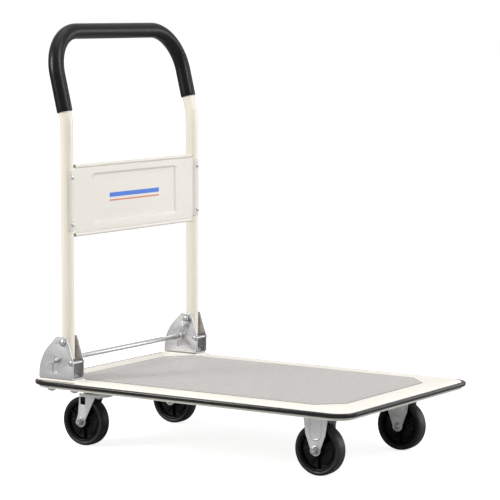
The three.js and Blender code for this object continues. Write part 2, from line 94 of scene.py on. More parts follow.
def area_light(name, position, target, size, power, colour):
    data = bpy.data.lights.new(name, "AREA")
    data.shape = "RECTANGLE"
    data.size, data.size_y = size
    data.energy = power
    data.color = colour
    light = bpy.data.objects.new(name, data)
    light.location = position
    light.rotation_euler = (Vector(target) - Vector(position)).to_track_quat("-Z", "Y").to_euler()
    SCENE.collection.objects.link(light)


def studio_world():
    """A soft surround, brighter overhead than at the sides, seen as plain white by the camera."""
    world = bpy.data.worlds.new("studio")
    world.use_nodes = True
    tree = world.node_tree
    tree.nodes.clear()
    add = tree.nodes.new
    link = tree.links.new
    coordinates = add("ShaderNodeTexCoord")
    split = add("ShaderNodeSeparateXYZ")
    link(coordinates.outputs["Generated"], split.inputs[0])
    ramp = add("ShaderNodeValToRGB")
    ramp.color_ramp.elements[0].position = 0.0
    ramp.color_ramp.elements[0].color = SURROUND["side"]
    ramp.color_ramp.elements[1].position = SURROUND["turns_white"]
    ramp.color_ramp.elements[1].color = SURROUND["overhead"]
    link(split.outputs["Z"], ramp.inputs[0])
    around = add("ShaderNodeBackground")
    around.inputs["Strength"].default_value = SURROUND["strength"]
    link(ramp.outputs["Color"], around.inputs["Color"])
    seen = add("ShaderNodeBackground")
    seen.inputs["Color"].default_value = (1, 1, 1, 1)
    seen.inputs["Strength"].default_value = 1.0
    path = add("ShaderNodeLightPath")
    mix = add("ShaderNodeMixShader")
    link(path.outputs["Is Camera Ray"], mix.inputs["Fac"])
    link(around.outputs[0], mix.inputs[1])
    link(seen.outputs[0], mix.inputs[2])
    output = add("ShaderNodeOutputWorld")
    link(mix.outputs[0], output.inputs["Surface"])
    SCENE.world = world


def floor_plane():
    """A wide square on Z = 0. It glows, so the order of its corners sets how its light is sampled."""
    mesh = bpy.data.meshes.new("floor")
    corners = [(sx * FLOOR_REACH, sy * FLOOR_REACH, 0) for sx, sy in CORNERS[2:] + CORNERS[:2]]
    mesh.from_pydata(corners, [], [(0, 1, 2, 3)])
    floor = bpy.data.objects.new("floor", mesh)
    SCENE.collection.objects.link(floor)
    mesh.materials.append(floor_paint())


# ------------------------------------------------------------------ materials


class Surface:
    """One procedural material: a Principled shader and the nodes that vary it."""

    def __init__(self, name, roughness, metallic=0.0, **constants):
        self.material = bpy.data.materials.new(name)
        self.material.use_nodes = True
        self.tree = self.material.node_tree
        self.shader = self.tree.nodes["Principled BSDF"]
        self.shader.inputs["Roughness"].default_value = roughness
        self.shader.inputs["Metallic"].default_value = metallic
        for socket, value in constants.items():
            self.shader.inputs[socket.replace("_", " ")].default_value = value
        self.place = self.node("ShaderNodeTexCoord").outputs["Object"]
        self.height = None

    def node(self, kind, **settings):
        made = self.tree.nodes.new(kind)
        for key, value in settings.items():
            setattr(made, key, value)
        return made

    def link(self, source, target):
        self.tree.links.new(source, target)

    def stretched(self, scale):
        """Object coordinates, scaled along each axis."""
        mapping = self.node("ShaderNodeMapping")
        mapping.inputs["Scale"].default_value = scale
        self.link(self.place, mapping.inputs["Vector"])
        return mapping.outputs["Vector"]

    def noise(self, scale, detail=3.0, stretch=None, rough=0.5):
        texture = self.node("ShaderNodeTexNoise")
        texture.inputs["Scale"].default_value = scale
        texture.inputs["Detail"].default_value = detail
        texture.inputs["Roughness"].default_value = rough
        self.link(self.stretched(stretch) if stretch else self.place, texture.inputs["Vector"])
        return texture.outputs["Fac"]

    def cells(self, scale):
        texture = self.node("ShaderNodeTexVoronoi")
        texture.inputs["Scale"].default_value = scale
        self.link(self.place, texture.inputs["Vector"])
        return texture.outputs["Distance"]

    def spread(self, source, low, high, start=0.3, stop=0.7):
        """A value between low and high that follows source."""
        ranged = self.node("ShaderNodeMapRange")
        ranged.inputs["From Min"].default_value = start
        ranged.inputs["From Max"].default_value = stop
        ranged.inputs["To Min"].default_value = low
        ranged.inputs["To Max"].default_value = high
        self.link(source, ranged.inputs["Value"])
        return ranged.outputs["Result"]

    def tint(self, source, first, second, start=0.3, stop=0.7):
        """A colour between first and second that follows source, sent to the base colour."""
        ramp = self.node("ShaderNodeValToRGB")
        ramp.color_ramp.elements[0].position = start
        ramp.color_ramp.elements[0].color = (*first, 1)
        ramp.color_ramp.elements[1].position = stop
        ramp.color_ramp.elements[1].color = (*second, 1)
        self.link(source, ramp.inputs["Fac"])
        self.link(ramp.outputs["Color"], self.shader.inputs["Base Color"])
        return ramp.outputs["Color"]

    def along(self, axis):
        """The place along one axis."""
        split = self.node("ShaderNodeSeparateXYZ")
        self.link(self.place, split.inputs["Vector"])
        return split.outputs[axis]

    def mixed(self, first, second, share):
        """Two values mixed, with that share of the second."""
        mix = self.node("ShaderNodeMix", data_type="FLOAT")
        mix.inputs["Factor"].default_value = share
        self.link(first, mix.inputs["A"])
        self.link(second, mix.inputs["B"])
        return mix.outputs["Result"]

    def within(self, axis, low, high):
        """One between two places along an axis, and zero outside them."""
        compare = self.node("ShaderNodeMath", operation="COMPARE")
        self.link(self.along(axis), compare.inputs[0])
        compare.inputs[1].default_value = (low + high) / 2
        compare.inputs[2].default_value = (high - low) / 2
        return compare.outputs["Value"]

    def band(self, coat, low, high, half_width, colour):
        """A printed band between two heights, laid over a coat's colour on every face of the sheet."""
        both = self.node("ShaderNodeMath", operation="MULTIPLY")
        self.link(self.within("Z", low, high), both.inputs[0])
        self.link(self.within("Y", -half_width, half_width), both.inputs[1])
        mix = self.node("ShaderNodeMix", data_type="RGBA")
        self.link(both.outputs["Value"], mix.inputs["Factor"])
        self.link(coat, mix.inputs["A"])
        mix.inputs["B"].default_value = (*colour, 1)
        return mix.outputs["Result"]

    def roughen(self, source, low, high):
        self.link(self.spread(source, low, high), self.shader.inputs["Roughness"])

    def bump(self, source, depth, strength=1.0):
        """Adds a bump of that depth in metres on top of the ones before it."""
        bump = self.node("ShaderNodeBump")
        bump.inputs["Distance"].default_value = depth
        bump.inputs["Strength"].default_value = strength
        self.link(source, bump.inputs["Height"])
        if self.height is not None:
            self.link(self.height, bump.inputs["Normal"])
        self.height = bump.outputs["Normal"]
        self.link(self.height, self.shader.inputs["Normal"])


CREAM_COLOUR = (0.82, 0.765, 0.66)
DECK_COLOUR = (0.82, 0.785, 0.715)
PANEL_COLOUR = (0.735, 0.70, 0.635)
PRINTED_BANDS = (  # low, high, half width, colour
    (0.4965, 0.5055, 0.085, (0.02, 0.14, 0.62)),
    (0.4885, 0.4915, 0.085, (0.60, 0.17, 0.08)))


def shade(colour, factor):
    return tuple(min(1.0, channel * factor) for channel in colour)


def floor_paint():
    """White paper: the camera sees it lit through, and the cart above is lit from it as from grey card."""
    surface = Surface("studio_floor", 0.9)
    surface.tint(surface.noise(0.7), (0.38, 0.38, 0.38), (0.40, 0.40, 0.40))
    surface.shader.inputs["Emission Color"].default_value = (1, 1, 1, 1)
    path = surface.node("ShaderNodeLightPath")
    glow = surface.spread(path.outputs["Is Camera Ray"], 0.0, FLOOR_GLOW, 0, 1)
    surface.link(glow, surface.shader.inputs["Emission Strength"])
    return surface.material


def powder_coat(name, colour):
    surface = Surface(name, 0.34, Coat_Weight=0.15, Coat_Roughness=0.25)
    surface.tint(surface.noise(9, 4), shade(colour, 0.975), shade(colour, 1.02))
    surface.roughen(surface.noise(60, 4), 0.3, 0.4)
    surface.bump(surface.noise(620, 2), 0.00005)
    surface.bump(surface.noise(30, 2), 0.0003, 0.4)
    return surface.material


def mat_vinyl():
    surface = Surface("mat_vinyl", 0.55)
    # Painted shade: the sheet between the ribs is coloured darker and the rib tops lighter, following height,
    # then mixed with random mottle.
    painted_groove_shade = surface.spread(surface.along("Z"), 0.0, 1.0, MAT_HIGH - 0.0003, MAT_HIGH + 0.0001)
    groove_shade_and_mottle = surface.mixed(painted_groove_shade, surface.noise(160, 5), 0.25)
    surface.tint(groove_shade_and_mottle, (0.26, 0.25, 0.243), (0.565, 0.545, 0.53), 0.05, 0.9)
    surface.roughen(surface.noise(120, 5), 0.42, 0.58)
    surface.bump(surface.cells(1500), 0.00008)
    surface.bump(surface.noise(2600, 2), 0.00005)
    return surface.material


def edge_rubber():
    surface = Surface("edge_rubber", 0.2, Specular_IOR_Level=0.36)
    surface.tint(surface.noise(22, 4), (0.003, 0.004, 0.003), (0.007, 0.009, 0.006))
    surface.roughen(surface.noise(30, 2), 0.09, 0.15)
    surface.bump(surface.noise(34, 2), 0.00012)
    return surface.material


def grip_foam():
    surface = Surface("grip_foam", 0.33, Specular_IOR_Level=0.27)
    surface.tint(surface.noise(180, 5), (0.0012, 0.0012, 0.0012), (0.0036, 0.0036, 0.0035))
    surface.roughen(surface.noise(70, 4), 0.28, 0.37)
    surface.bump(surface.cells(1300), 0.00003)
    surface.bump(surface.noise(260, 4), 0.00003)
    return surface.material


def zinc_sheet():
    surface = Surface("zinc_sheet", 0.36, 0.92)
    surface.tint(surface.noise(430, 6, rough=0.7), (0.47, 0.47, 0.475), (0.66, 0.66, 0.665), 0.36, 0.64)
    surface.roughen(surface.noise(380, 4, rough=0.65), 0.34, 0.44)
    surface.bump(surface.noise(520, 5, (1, 1, 2.5)), 0.00006)
    surface.bump(surface.noise(30, 2), 0.00004, 0.3)
    return surface.material


def light_zinc():
    surface = Surface("light_zinc", 0.38, 0.85)
    surface.tint(surface.noise(55, 5, rough=0.6), (0.66, 0.66, 0.665), (0.78, 0.78, 0.785))
    surface.roughen(surface.noise(75, 5, rough=0.65), 0.33, 0.5)
    surface.bump(surface.noise(380, 5), 0.00006)
    surface.bump(surface.cells(220), 0.00004)
    return surface.material


def bright_zinc():
    surface = Surface("bright_zinc", 0.24, 1.0)
    surface.tint(surface.noise(70, 4), (0.60, 0.605, 0.615), (0.64, 0.64, 0.645))
    surface.roughen(surface.noise(40, 4, (1, 6, 1)), 0.29, 0.35)
    surface.bump(surface.noise(20, 2, (1, 2, 1)), 0.00001)
    return surface.material


def fastener_zinc():
    surface = Surface("fastener_zinc", 0.34, 1.0)
    surface.tint(surface.noise(190, 5), (0.42, 0.42, 0.43), (0.56, 0.56, 0.565))
    surface.roughen(surface.noise(240, 5, rough=0.65), 0.26, 0.42)
    surface.bump(surface.noise(900, 3), 0.00002)
    return surface.material


def spring_wire():
    surface = Surface("spring_wire", 0.28, 1.0)
    surface.tint(surface.noise(160, 4), (0.78, 0.78, 0.79), (0.92, 0.92, 0.925))
    surface.roughen(surface.noise(300, 4), 0.2, 0.38)
    surface.bump(surface.noise(1500, 2), 0.00003)
    return surface.material


def moulded_nylon():
    surface = Surface("moulded_nylon", 0.34, Specular_IOR_Level=0.18)
    surface.tint(surface.noise(45, 4), (0.0015, 0.0015, 0.0018), (0.004, 0.004, 0.0044))
    surface.roughen(surface.noise(120, 4), 0.25, 0.4)
    surface.bump(surface.noise(700, 3), 0.00006)
    return surface.material


def tyre_rubber():
    surface = Surface("tyre_rubber", 0.45, Specular_IOR_Level=0.4)
    surface.tint(surface.noise(60, 5, (1, 6, 1)), (0.006, 0.006, 0.006), (0.014, 0.014, 0.014))
    surface.roughen(surface.noise(90, 5, (1, 8, 1)), 0.38, 0.6)
    surface.bump(surface.noise(120, 3, (0.6, 16, 0.6)), 0.0001, 0.5)
    surface.bump(surface.noise(900, 3), 0.00005)
    return surface.material


def panel_paint():
    """Greyer powder coat, with two plain bands across the pressed field, which show on its back too."""
    surface = Surface("panel_coat", 0.36, Coat_Weight=0.12, Coat_Roughness=0.25)
    coat = surface.tint(surface.noise(9, 4), shade(PANEL_COLOUR, 0.975), shade(PANEL_COLOUR, 1.02))
    for low, high, half_width, colour in PRINTED_BANDS:
        coat = surface.band(coat, low, high, half_width, colour)
    surface.link(coat, surface.shader.inputs["Base Color"])
    surface.roughen(surface.noise(60, 4), 0.32, 0.42)
    surface.bump(surface.noise(620, 2), 0.00005)
    surface.bump(surface.noise(30, 2), 0.0003, 0.4)
    return surface.material


# ------------------------------------------------------------------ mesh tools


def mesh_from(vertices, faces):
    """A clean mesh: doubles merged, no empty faces, and every face pointing out."""
    mesh = bpy.data.meshes.new("mesh")
    mesh.from_pydata([tuple(vertex) for vertex in vertices], [], faces)
    tidy_mesh(mesh)
    return mesh


def tidy_mesh(mesh, distance=1e-6):
    bm = bmesh.new()
    bm.from_mesh(mesh)
    bmesh.ops.remove_doubles(bm, verts=bm.verts, dist=distance)
    bmesh.ops.dissolve_degenerate(bm, edges=bm.edges, dist=distance / 2)
    bmesh.ops.recalc_face_normals(bm, faces=bm.faces)
    bm.to_mesh(mesh)
    bm.free()


def joined(*meshes):
    """Several meshes as one."""
    bm = bmesh.new()
    for mesh in meshes:
        bm.from_mesh(mesh)
    result = bpy.data.meshes.new("joined")
    bm.to_mesh(result)
    bm.free()
    return result


def moved(mesh, offset):
    mesh.transform(Matrix.Translation(Vector(offset)))
    return mesh


def turned(mesh, angle, axis):
    mesh.transform(Matrix.Rotation(angle, 4, axis))
    return mesh


def rings_mesh(rings, caps=True, loop=False):
    """Quads between rings of points, with flat caps on the ends or a join from last to first."""
    count = len(rings[0])
    vertices = [point for ring in rings for point in ring]
    faces = []
    pairs = [(i, i + 1) for i in range(len(rings) - 1)]
    if loop:
        pairs.append((len(rings) - 1, 0))
    for a, b in pairs:
        for i in range(count):
            j = (i + 1) % count
            faces.append((a * count + i, a * count + j, b * count + j, b * count + i))
    if caps and not loop:
        faces.append(tuple(range(count))[::-1])
        last = (len(rings) - 1) * count
        faces.append(tuple(range(last, last + count)))
    return mesh_from(vertices, faces)


def lathe(profile, segments=48, axis="Z", loop=False):
    """Turns (radius, height) points in metres about an axis through the origin."""
    rings = []
    for radius, height in profile:
        ring = []
        for i in range(segments):
            turn = 2 * math.pi * i / segments
            c, s = radius * math.cos(turn), radius * math.sin(turn)
            ring.append({"Z": (c, s, height), "Y": (s, height, c), "X": (height, c, s)}[axis])
        rings.append(ring)
    return rings_mesh(rings, caps=False, loop=loop)


def ring_about(point, tangent, normal, radius, sides):
    """A ring of points square to a path."""
    other = tangent.cross(normal)
    turns = (2 * math.pi * i / sides for i in range(sides))
    return [point + radius * (math.cos(turn) * normal + math.sin(turn) * other) for turn in turns]


def sweep(spots, radius, sides, end_share=1.0):
    """A round bar through points, twisted as little as possible, with its ends at a share of its radius."""
    last = len(spots) - 1
    rings = []
    normal = None
    for i, spot in enumerate(spots):
        tangent = (spots[min(i + 1, last)] - spots[max(i - 1, 0)]).normalized()
        if normal is None:
            normal = tangent.orthogonal().normalized()
        normal = (normal - tangent * normal.dot(tangent)).normalized()
        size = radius * (end_share if i in (0, last) else 1)
        rings.append(ring_about(spot, tangent, normal, size, sides))
    return rings_mesh(rings)


def outlined(points):
    """A 2D outline made counter-clockwise."""
    area = sum(x0 * y1 - x1 * y0 for (x0, y0), (x1, y1) in zip(points, points[1:] + points[:1]))
    return points if area > 0 else points[::-1]


def plate(outline, holes, thickness, bevel=0.0004, rounds=2):
    """A flat plate in X and Y, centred on Z = 0, drilled and with softened edges."""
    curve = bpy.data.curves.new("plate", "CURVE")
    curve.dimensions = "2D"
    curve.fill_mode = "BOTH"
    loops = [outlined(outline)] + [outlined(hole)[::-1] for hole in holes]
    for loop in loops:
        spline = curve.splines.new("POLY")
        spline.points.add(len(loop) - 1)
        for point, (x, y) in zip(spline.points, loop):
            point.co = (x, y, 0, 1)
        spline.use_cyclic_u = True
    curve.extrude = thickness / 2 - bevel
    curve.bevel_depth = bevel
    curve.bevel_resolution = rounds
    curve.offset = -bevel
    holder = bpy.data.objects.new("plate", curve)
    SCENE.collection.objects.link(holder)
    bpy.context.view_layer.update()
    mesh = bpy.data.meshes.new_from_object(holder.evaluated_get(bpy.context.evaluated_depsgraph_get()))
    bpy.data.objects.remove(holder)
    bpy.data.curves.remove(curve)
    tidy_mesh(mesh, 2e-6)
    return mesh


def upright(mesh, y):
    """A plate drawn in X and Y, stood up in X and Z at that y."""
    return moved(turned(mesh, math.pi / 2, "X"), (0, y, 0))


def arc(centre, radius, start, stop, steps):
    """Points on an arc in 2D, with angles in degrees."""
    angles = [math.radians(start + (stop - start) * i / steps) for i in range(steps + 1)]
    return [(centre[0] + radius * math.cos(a), centre[1] + radius * math.sin(a)) for a in angles]


def circle(centre, radius, steps=32):
    return arc(centre, radius, 0, 360, steps)[:-1]


def rounded_rectangle(half_x, half_y, corner, steps=8, centre=(0, 0)):
    points = []
    for quarter, (sx, sy) in enumerate(CORNERS):
        middle = (centre[0] + sx * (half_x - corner), centre[1] + sy * (half_y - corner))
        points += arc(middle, corner, 90 * quarter, 90 * quarter + 90, steps)
    return points


def rectangle_loft(half_x, half_y, corner, profile, steps=10, centre=(0, 0), loop=False):
    """Rounded rectangles stacked by (inset, z) pairs, capped at both ends or closed into a ring."""
    rings = []
    for inset, z in profile:
        outline = rounded_rectangle(
            half_x - inset, half_y - inset, max(corner - inset, 0.002), steps, centre)
        rings.append([(x, y, z) for x, y in outline])
    return rings_mesh(rings, loop=loop)


HEX_COUNT = 72
HEX_CHAMFER = 0.12
HEX_LEVELS = ((0.0, 0.0), (0.35, 0.06), (1.0, 0.16))  # (share of the chamfer's height, swell past the flats)


def hexagon_ring(inner, swell, z):
    """A hexagon's ring about a circle of radius inner, with its corners cut at that swell."""
    points = []
    for i in range(HEX_COUNT):
        turn = 2 * math.pi * i / HEX_COUNT
        off_flat = math.radians((360 * i / HEX_COUNT + 30) % 60 - 30)
        radius = min(inner / math.cos(off_flat), inner * (1 + swell))
        points.append((radius * math.cos(turn), radius * math.sin(turn), z))
    return points


def hexagon_body(flats, height, bore=0.0):
    """A nut or bolt head from z = 0 to height: six flats with rounded, chamfered ends."""
    inner = flats / 2
    drop = HEX_CHAMFER * inner
    rings = [hexagon_ring(inner, swell, drop * share) for share, swell in HEX_LEVELS]
    rings += [hexagon_ring(inner, swell, height - drop * share) for share, swell in HEX_LEVELS[::-1]]
    if not bore:
        return rings_mesh(rings)
    hole = circle((0, 0), bore, HEX_COUNT)
    rings += [[(x, y, height) for x, y in hole], [(x, y, 0.0) for x, y in hole]]
    return rings_mesh(rings, loop=True)


def threaded_rod(radius, low, high, pitch=0.00125, segments=32):
    """A rod along Z with thread ridges and a chamfered top."""
    depth = pitch * 0.45
    turns = max(2, int((high - low) / pitch))
    step = (high - low - depth) / turns
    profile = [(0, low), (radius - depth, low)]
    for i in range(turns):
        profile += [(radius, low + (i + 0.5) * step), (radius - depth, low + (i + 1) * step)]
    profile += [(radius - 1.8 * depth, high), (0, high)]
    return lathe(profile, segments)


def round_head(radius, height, skirt, steps):
    """(radius, height) points of a round head, from the top of its skirt to its middle."""
    turns = [math.pi / 2 * i / steps for i in range(steps + 1)]
    return [(radius * math.cos(turn), skirt + (height - skirt) * math.sin(turn)) for turn in turns]


def dome(radius, height):
    """A rounded rivet head, standing on z = 0, turned about Z."""
    return lathe([(0, 0), (radius, 0)] + round_head(radius, height, 0.0006, 7), 36)


def piece(name, mesh, material, body, slot, *replaced, crease=32):
    """Finishes a mesh as a named piece that rides on a body and stands for CAD nodes."""
    mesh.name = name
    mesh.materials.clear()
    mesh.materials.append(material)
    mesh.polygons.foreach_set("material_index", [0] * len(mesh.polygons))
    mesh.polygons.foreach_set("use_smooth", [True] * len(mesh.polygons))
    mesh.set_sharp_from_angle(angle=math.radians(crease))
    obj = bpy.data.objects.new(name, mesh)
    SCENE.collection.objects.link(obj)
    if replaced:
        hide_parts(*replaced)
    if body:
        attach(obj, body)
    return obj


def stand_in(node, ending, mesh, material, crease=32):
    """A piece named after the one CAD node that it stands for, riding on that node's body."""
    return piece(f"{node}_{ending}", mesh, material, BODIES[node], SLOTS[node], node, crease=crease)


def mirrored(mesh, side):
    """A mesh drawn for the left, turned into its mirror image for the right."""
    if side < 0:
        mesh.transform(Matrix.Scale(-1, 4, Y))
        mesh.flip_normals()
    return mesh


def lathe_y(profile, segments=40, loop=False):
    """Turns (radius, y) points about the Y axis."""
    return lathe(profile, segments, "Y", loop)


def both_faces(half):
    """A (radius, y) profile of one face, carried round the rim to the other face."""
    return half + [(radius, -y) for radius, y in half[::-1]]


def extruded(section, span, axis="Y"):
    """A closed section swept straight: drawn in X and Z along Y, or in Y and Z along X."""
    rings = []
    for along in span:
        rings.append([(a, along, b) if axis == "Y" else (along, a, b) for a, b in section])
    return rings_mesh(rings)


# ------------------------------------------------------------------ platform

BUMPER = {"half": (0.373, 0.2445), "corner": 0.042, "thick": 0.008, "low": 0.1288, "high": 0.1372,
          "lower_nose": 0.0034, "upper_nose": 0.0026}
DECK_HALF = (0.3647, 0.2362)
DECK_CORNER = 0.034
DECK_TOP = 0.140
DECK_LOW = 0.1234
DECK_SHEET = 0.0016
MAT_HALF = (0.314, 0.189)
MAT_CUT = 0.045
MAT_LOW, MAT_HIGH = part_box("deck_mat")[0][2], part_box("deck_mat")[1][2]
RIB_PITCH = 0.0062
RIB_HEIGHT = 0.0005
BOSS_CENTRE = (-0.308, 0.2133)
BOSS_HALF = (0.046, 0.0212)
BOSS_HEIGHT = 0.0025


def deck_shell():
    """A tray open below, its top rolling down gently to the bumper."""
    roll = [(0.0, 0.1350), (0.0003, 0.1364), (0.0012, 0.1376), (0.0032, 0.1386), (0.0062, 0.1393),
            (0.0100, 0.1397), (0.0145, DECK_TOP)]
    under = [(inset + DECK_SHEET, z - DECK_SHEET) for inset, z in roll[::-1]]
    profile = under + [(DECK_SHEET, DECK_LOW + 0.0003), (DECK_SHEET - 0.0003, DECK_LOW), (0.0003, DECK_LOW),
                       (0.0, DECK_LOW + 0.0003)] + roll
    return rectangle_loft(*DECK_HALF, DECK_CORNER, profile)


def deck_boss(side):
    """The raised seat under a bracket, with a soft foot and a soft top edge."""
    rise = BOSS_HEIGHT
    profile = [(-0.0022, DECK_TOP - 0.0006), (-0.0022, DECK_TOP + 0.00005), (-0.0012, DECK_TOP + 0.0002),
               (-0.0004, DECK_TOP + 0.0007), (0.0, DECK_TOP + 0.5 * rise), (0.0003, DECK_TOP + rise - 0.0006),
               (0.0010, DECK_TOP + rise - 0.0001), (0.0016, DECK_TOP + rise)]
    centre = (BOSS_CENTRE[0], side * BOSS_CENTRE[1])
    return rectangle_loft(*BOSS_HALF, 0.006, profile, 6, centre)


def build_deck(paint):
    mesh = joined(deck_shell(), *[deck_boss(side) for side in SIDES.values()])
    stand_in("deck", "tray", mesh, paint)


def mat_outline(inset=0.0):
    half_x, half_y = MAT_HALF[0] - inset, MAT_HALF[1] - inset
    cut = MAT_CUT - inset * (2 - math.sqrt(2))
    corners = [(half_x, half_y - cut), (half_x - cut, half_y)]
    right = corners + [(-x, y) for x, y in corners[::-1]]
    return right + [(-x, -y) for x, y in right]


def clipped_span(origin, heading, outline):
    """Where a line enters and leaves a convex, counter-clockwise outline, as distances from origin."""
    enter, leave = -10.0, 10.0
    for (x0, y0), (x1, y1) in zip(outline, outline[1:] + outline[:1]):
        inward = Vector((y0 - y1, x1 - x0))
        ahead = inward.dot(heading)
        room = inward.dot(origin - Vector((x0, y0)))
        if abs(ahead) < 1e-9:
            if room < 0:
                return None
        elif ahead > 0:
            enter = max(enter, -room / ahead)
        else:
            leave = min(leave, -room / ahead)
    return (enter, leave) if leave - enter > 0.004 else None


def mat_ribs(turn):
    """Low ribs at one slant, side by side across the mat, each ending just inside its edge."""
    heading = Vector((math.cos(turn), math.sin(turn)))
    across = Vector((-heading.y, heading.x))
    outline = mat_outline(0.0012)
    top = MAT_HIGH + 0.0001
    foot = top - RIB_HEIGHT
    vertices, faces = [], []
    count = int((MAT_HALF[0] + MAT_HALF[1]) / RIB_PITCH)
    for i in range(-count, count + 1):
        origin = across * (i * RIB_PITCH)
        span = clipped_span(origin, heading, outline)
        if span is None:
            continue
        first = len(vertices)
        for distance, inset in ((span[0], 0.0005), (span[1], -0.0005)):
            for offset, level, back in ((-0.0014, foot, 0), (-0.0006, top, inset), (0.0006, top, inset),
                                        (0.0014, foot, 0)):
                spot = origin + heading * (distance + back) + across * offset
                vertices.append((spot.x, spot.y, level))
        for k in range(3):
            faces.append((first + k, first + k + 1, first + k + 5, first + k + 4))
        faces.append((first, first + 4, first + 7, first + 3))
        faces.append((first, first + 3, first + 2, first + 1))
        faces.append((first + 4, first + 5, first + 6, first + 7))
    return mesh_from(vertices, faces)


def build_mat(vinyl):
    sheet_top = MAT_HIGH - 0.0003
    middle = (MAT_LOW + sheet_top) / 2
    sheet = moved(plate(mat_outline(), [], sheet_top - MAT_LOW, 0.0002, 1), (0, 0, middle))
    mesh = joined(sheet, mat_ribs(math.radians(45)), mat_ribs(math.radians(-45)))
    piece("ribbed_mat", mesh, vinyl, "platform", "grey_vinyl", "deck_mat", crease=20)


def build_bumper(rubber):
    """A round-nosed strip, with a tighter curve above than below, and a flat back."""
    low, high, thick = BUMPER["low"], BUMPER["high"], BUMPER["thick"]
    lower, upper = BUMPER["lower_nose"], BUMPER["upper_nose"]
    turns = [math.radians(15 * i) for i in range(7)]
    profile = [(lower * (1 - math.cos(turn)), low + lower * (1 - math.sin(turn))) for turn in turns[::-1]]
    profile += [(upper * (1 - math.cos(turn)), high - upper * (1 - math.sin(turn))) for turn in turns]
    profile += [(thick - 0.0006, high), (thick, high - 0.0006), (thick, low + 0.0006), (thick - 0.0006, low)]
    mesh = rectangle_loft(*BUMPER["half"], BUMPER["corner"], profile, 14, loop=True)
    piece("edge_strip", mesh, rubber, "platform", "black_rubber", "edge_bumper", crease=40)


def build_cross_member(name, paint):
    """A channel across the underside, open at the top, with round bends."""
    (x0, y0, low), (x1, y1, high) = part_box(name)
    sheet, bend = 0.002, 0.004
    outer = [(x0, high)] + arc((x0 + bend, low + bend), bend, 180, 270, 5)
    outer += arc((x1 - bend, low + bend), bend, -90, 0, 5) + [(x1, high)]
    inner = [(x1 - sheet, high)] + arc((x1 - bend, low + bend), bend - sheet, 0, -90, 5)
    inner += arc((x0 + bend, low + bend), bend - sheet, 270, 180, 5) + [(x0 + sheet, high)]
    mesh = extruded(outer + inner, (y0, y1))
    stand_in(name, "channel", mesh, paint)


# ------------------------------------------------------------------ hinge brackets

BRACKET_LOW = 0.1428
BRACKET_OUTER = 0.2322
BRACKET_WIDTH = 0.036
BRACKET_MIDDLE = BRACKET_OUTER - BRACKET_WIDTH / 2
SHEET = 0.0025
BEND = 0.004
BEND_STEPS = 8
BRACKET_REAR, BRACKET_FRONT = -0.3497, -0.265
BRACKET_TOP, BRACKET_KINK = 0.229, 0.181
REAR_ARC = {"centre": (-0.268, 0.150), "radius": 0.0825, "start": 130, "stop": 185}
PIVOT = Vector((-0.290, 0, 0.2167))
STOP = Vector((-0.270, 0, 0.177))
BAR = Vector((-0.308, 0, 0.1795))
SLOT_TOP, SLOT_FOOT, SLOT_RADIUS = (-0.3076, 0.182), (-0.311, 0.1604), 0.0057
BOLT_XS = {"rear": -0.333, "front": -0.2755}
BOLT_Y = 0.214
BRACKET_HOLES = {"pivot": 0.0048, "stop": 0.0043, "base_bolt": 0.0043}
BASE_BOLT = {"flats": 0.0121, "head": 0.0068, "radius": 0.004, "low": 0.1152}
BASE_NUT = {"flats": 0.0148, "height": 0.0070, "bore": 0.0042, "low": 0.1171}


def slot_loop(top, foot, radius, steps=10):
    """A slot with round ends, drawn counter-clockwise."""
    slant = math.degrees(math.atan2(top[1] - foot[1], top[0] - foot[0]))
    return arc(top, radius, slant - 90, slant + 90, steps) + arc(foot, radius, slant + 90, slant + 270, steps)


def sliced(bm, axis, places):
    """Adds edges right across a mesh at places along an axis, so that it can bend there."""
    for place in places:
        bmesh.ops.bisect_plane(bm, geom=bm.verts[:] + bm.edges[:] + bm.faces[:], dist=1e-7,
                               plane_co=axis * place, plane_no=axis)


def bracket_side(corner):
    """One side plate's outline from its front bend line up, over and down to its rear bend line."""
    foot = BRACKET_LOW + BEND
    front = arc((BRACKET_FRONT - corner, foot + corner), corner, -90, 0, 8)
    nose = [(BRACKET_FRONT, BRACKET_KINK - 0.003), (BRACKET_FRONT - 0.0007, BRACKET_KINK + 0.002)]
    top_front = arc((BRACKET_FRONT - 0.0178, BRACKET_TOP - 0.0025), 0.0025, 18, 90, 5)
    top_rear = arc((BRACKET_FRONT - 0.0392, BRACKET_TOP - 0.003), 0.003, 90, 130, 4)
    back = arc(REAR_ARC["centre"], REAR_ARC["radius"], REAR_ARC["start"] + 3, REAR_ARC["stop"], 14)
    return front + nose + top_front + top_rear + back + [(BRACKET_REAR, foot)]


def bracket_blank():
    """The bracket unbent: x along, and s across from the middle of its web."""
    flat = BRACKET_WIDTH / 2 - BEND
    run = math.pi / 2 * (BEND - SHEET / 2)
    foot = BRACKET_LOW + BEND

    def across(z, sign):
        return sign * (flat + run + z - foot)

    outer = [(x, across(z, 1)) for x, z in bracket_side(0.0012)]
    inner = [(x, across(z, -1)) for x, z in bracket_side(0.0055)]
    web_front = BRACKET_FRONT - 0.003
    web = [(web_front, flat + run), (web_front, -flat - run)]
    outline = [web[0]] + outer + inner[::-1] + [web[1]]
    holes = []
    for sign in (1, -1):
        holes.append(circle((PIVOT.x, across(PIVOT.z, sign)), BRACKET_HOLES["pivot"]))
        holes.append(circle((STOP.x, across(STOP.z, sign)), BRACKET_HOLES["stop"]))
        holes.append([(x, across(z, sign)) for x, z in slot_loop(SLOT_TOP, SLOT_FOOT, SLOT_RADIUS)])
    holes += [circle((x, BOLT_Y - BRACKET_MIDDLE), BRACKET_HOLES["base_bolt"]) for x in BOLT_XS.values()]
    return outline, holes, flat, run


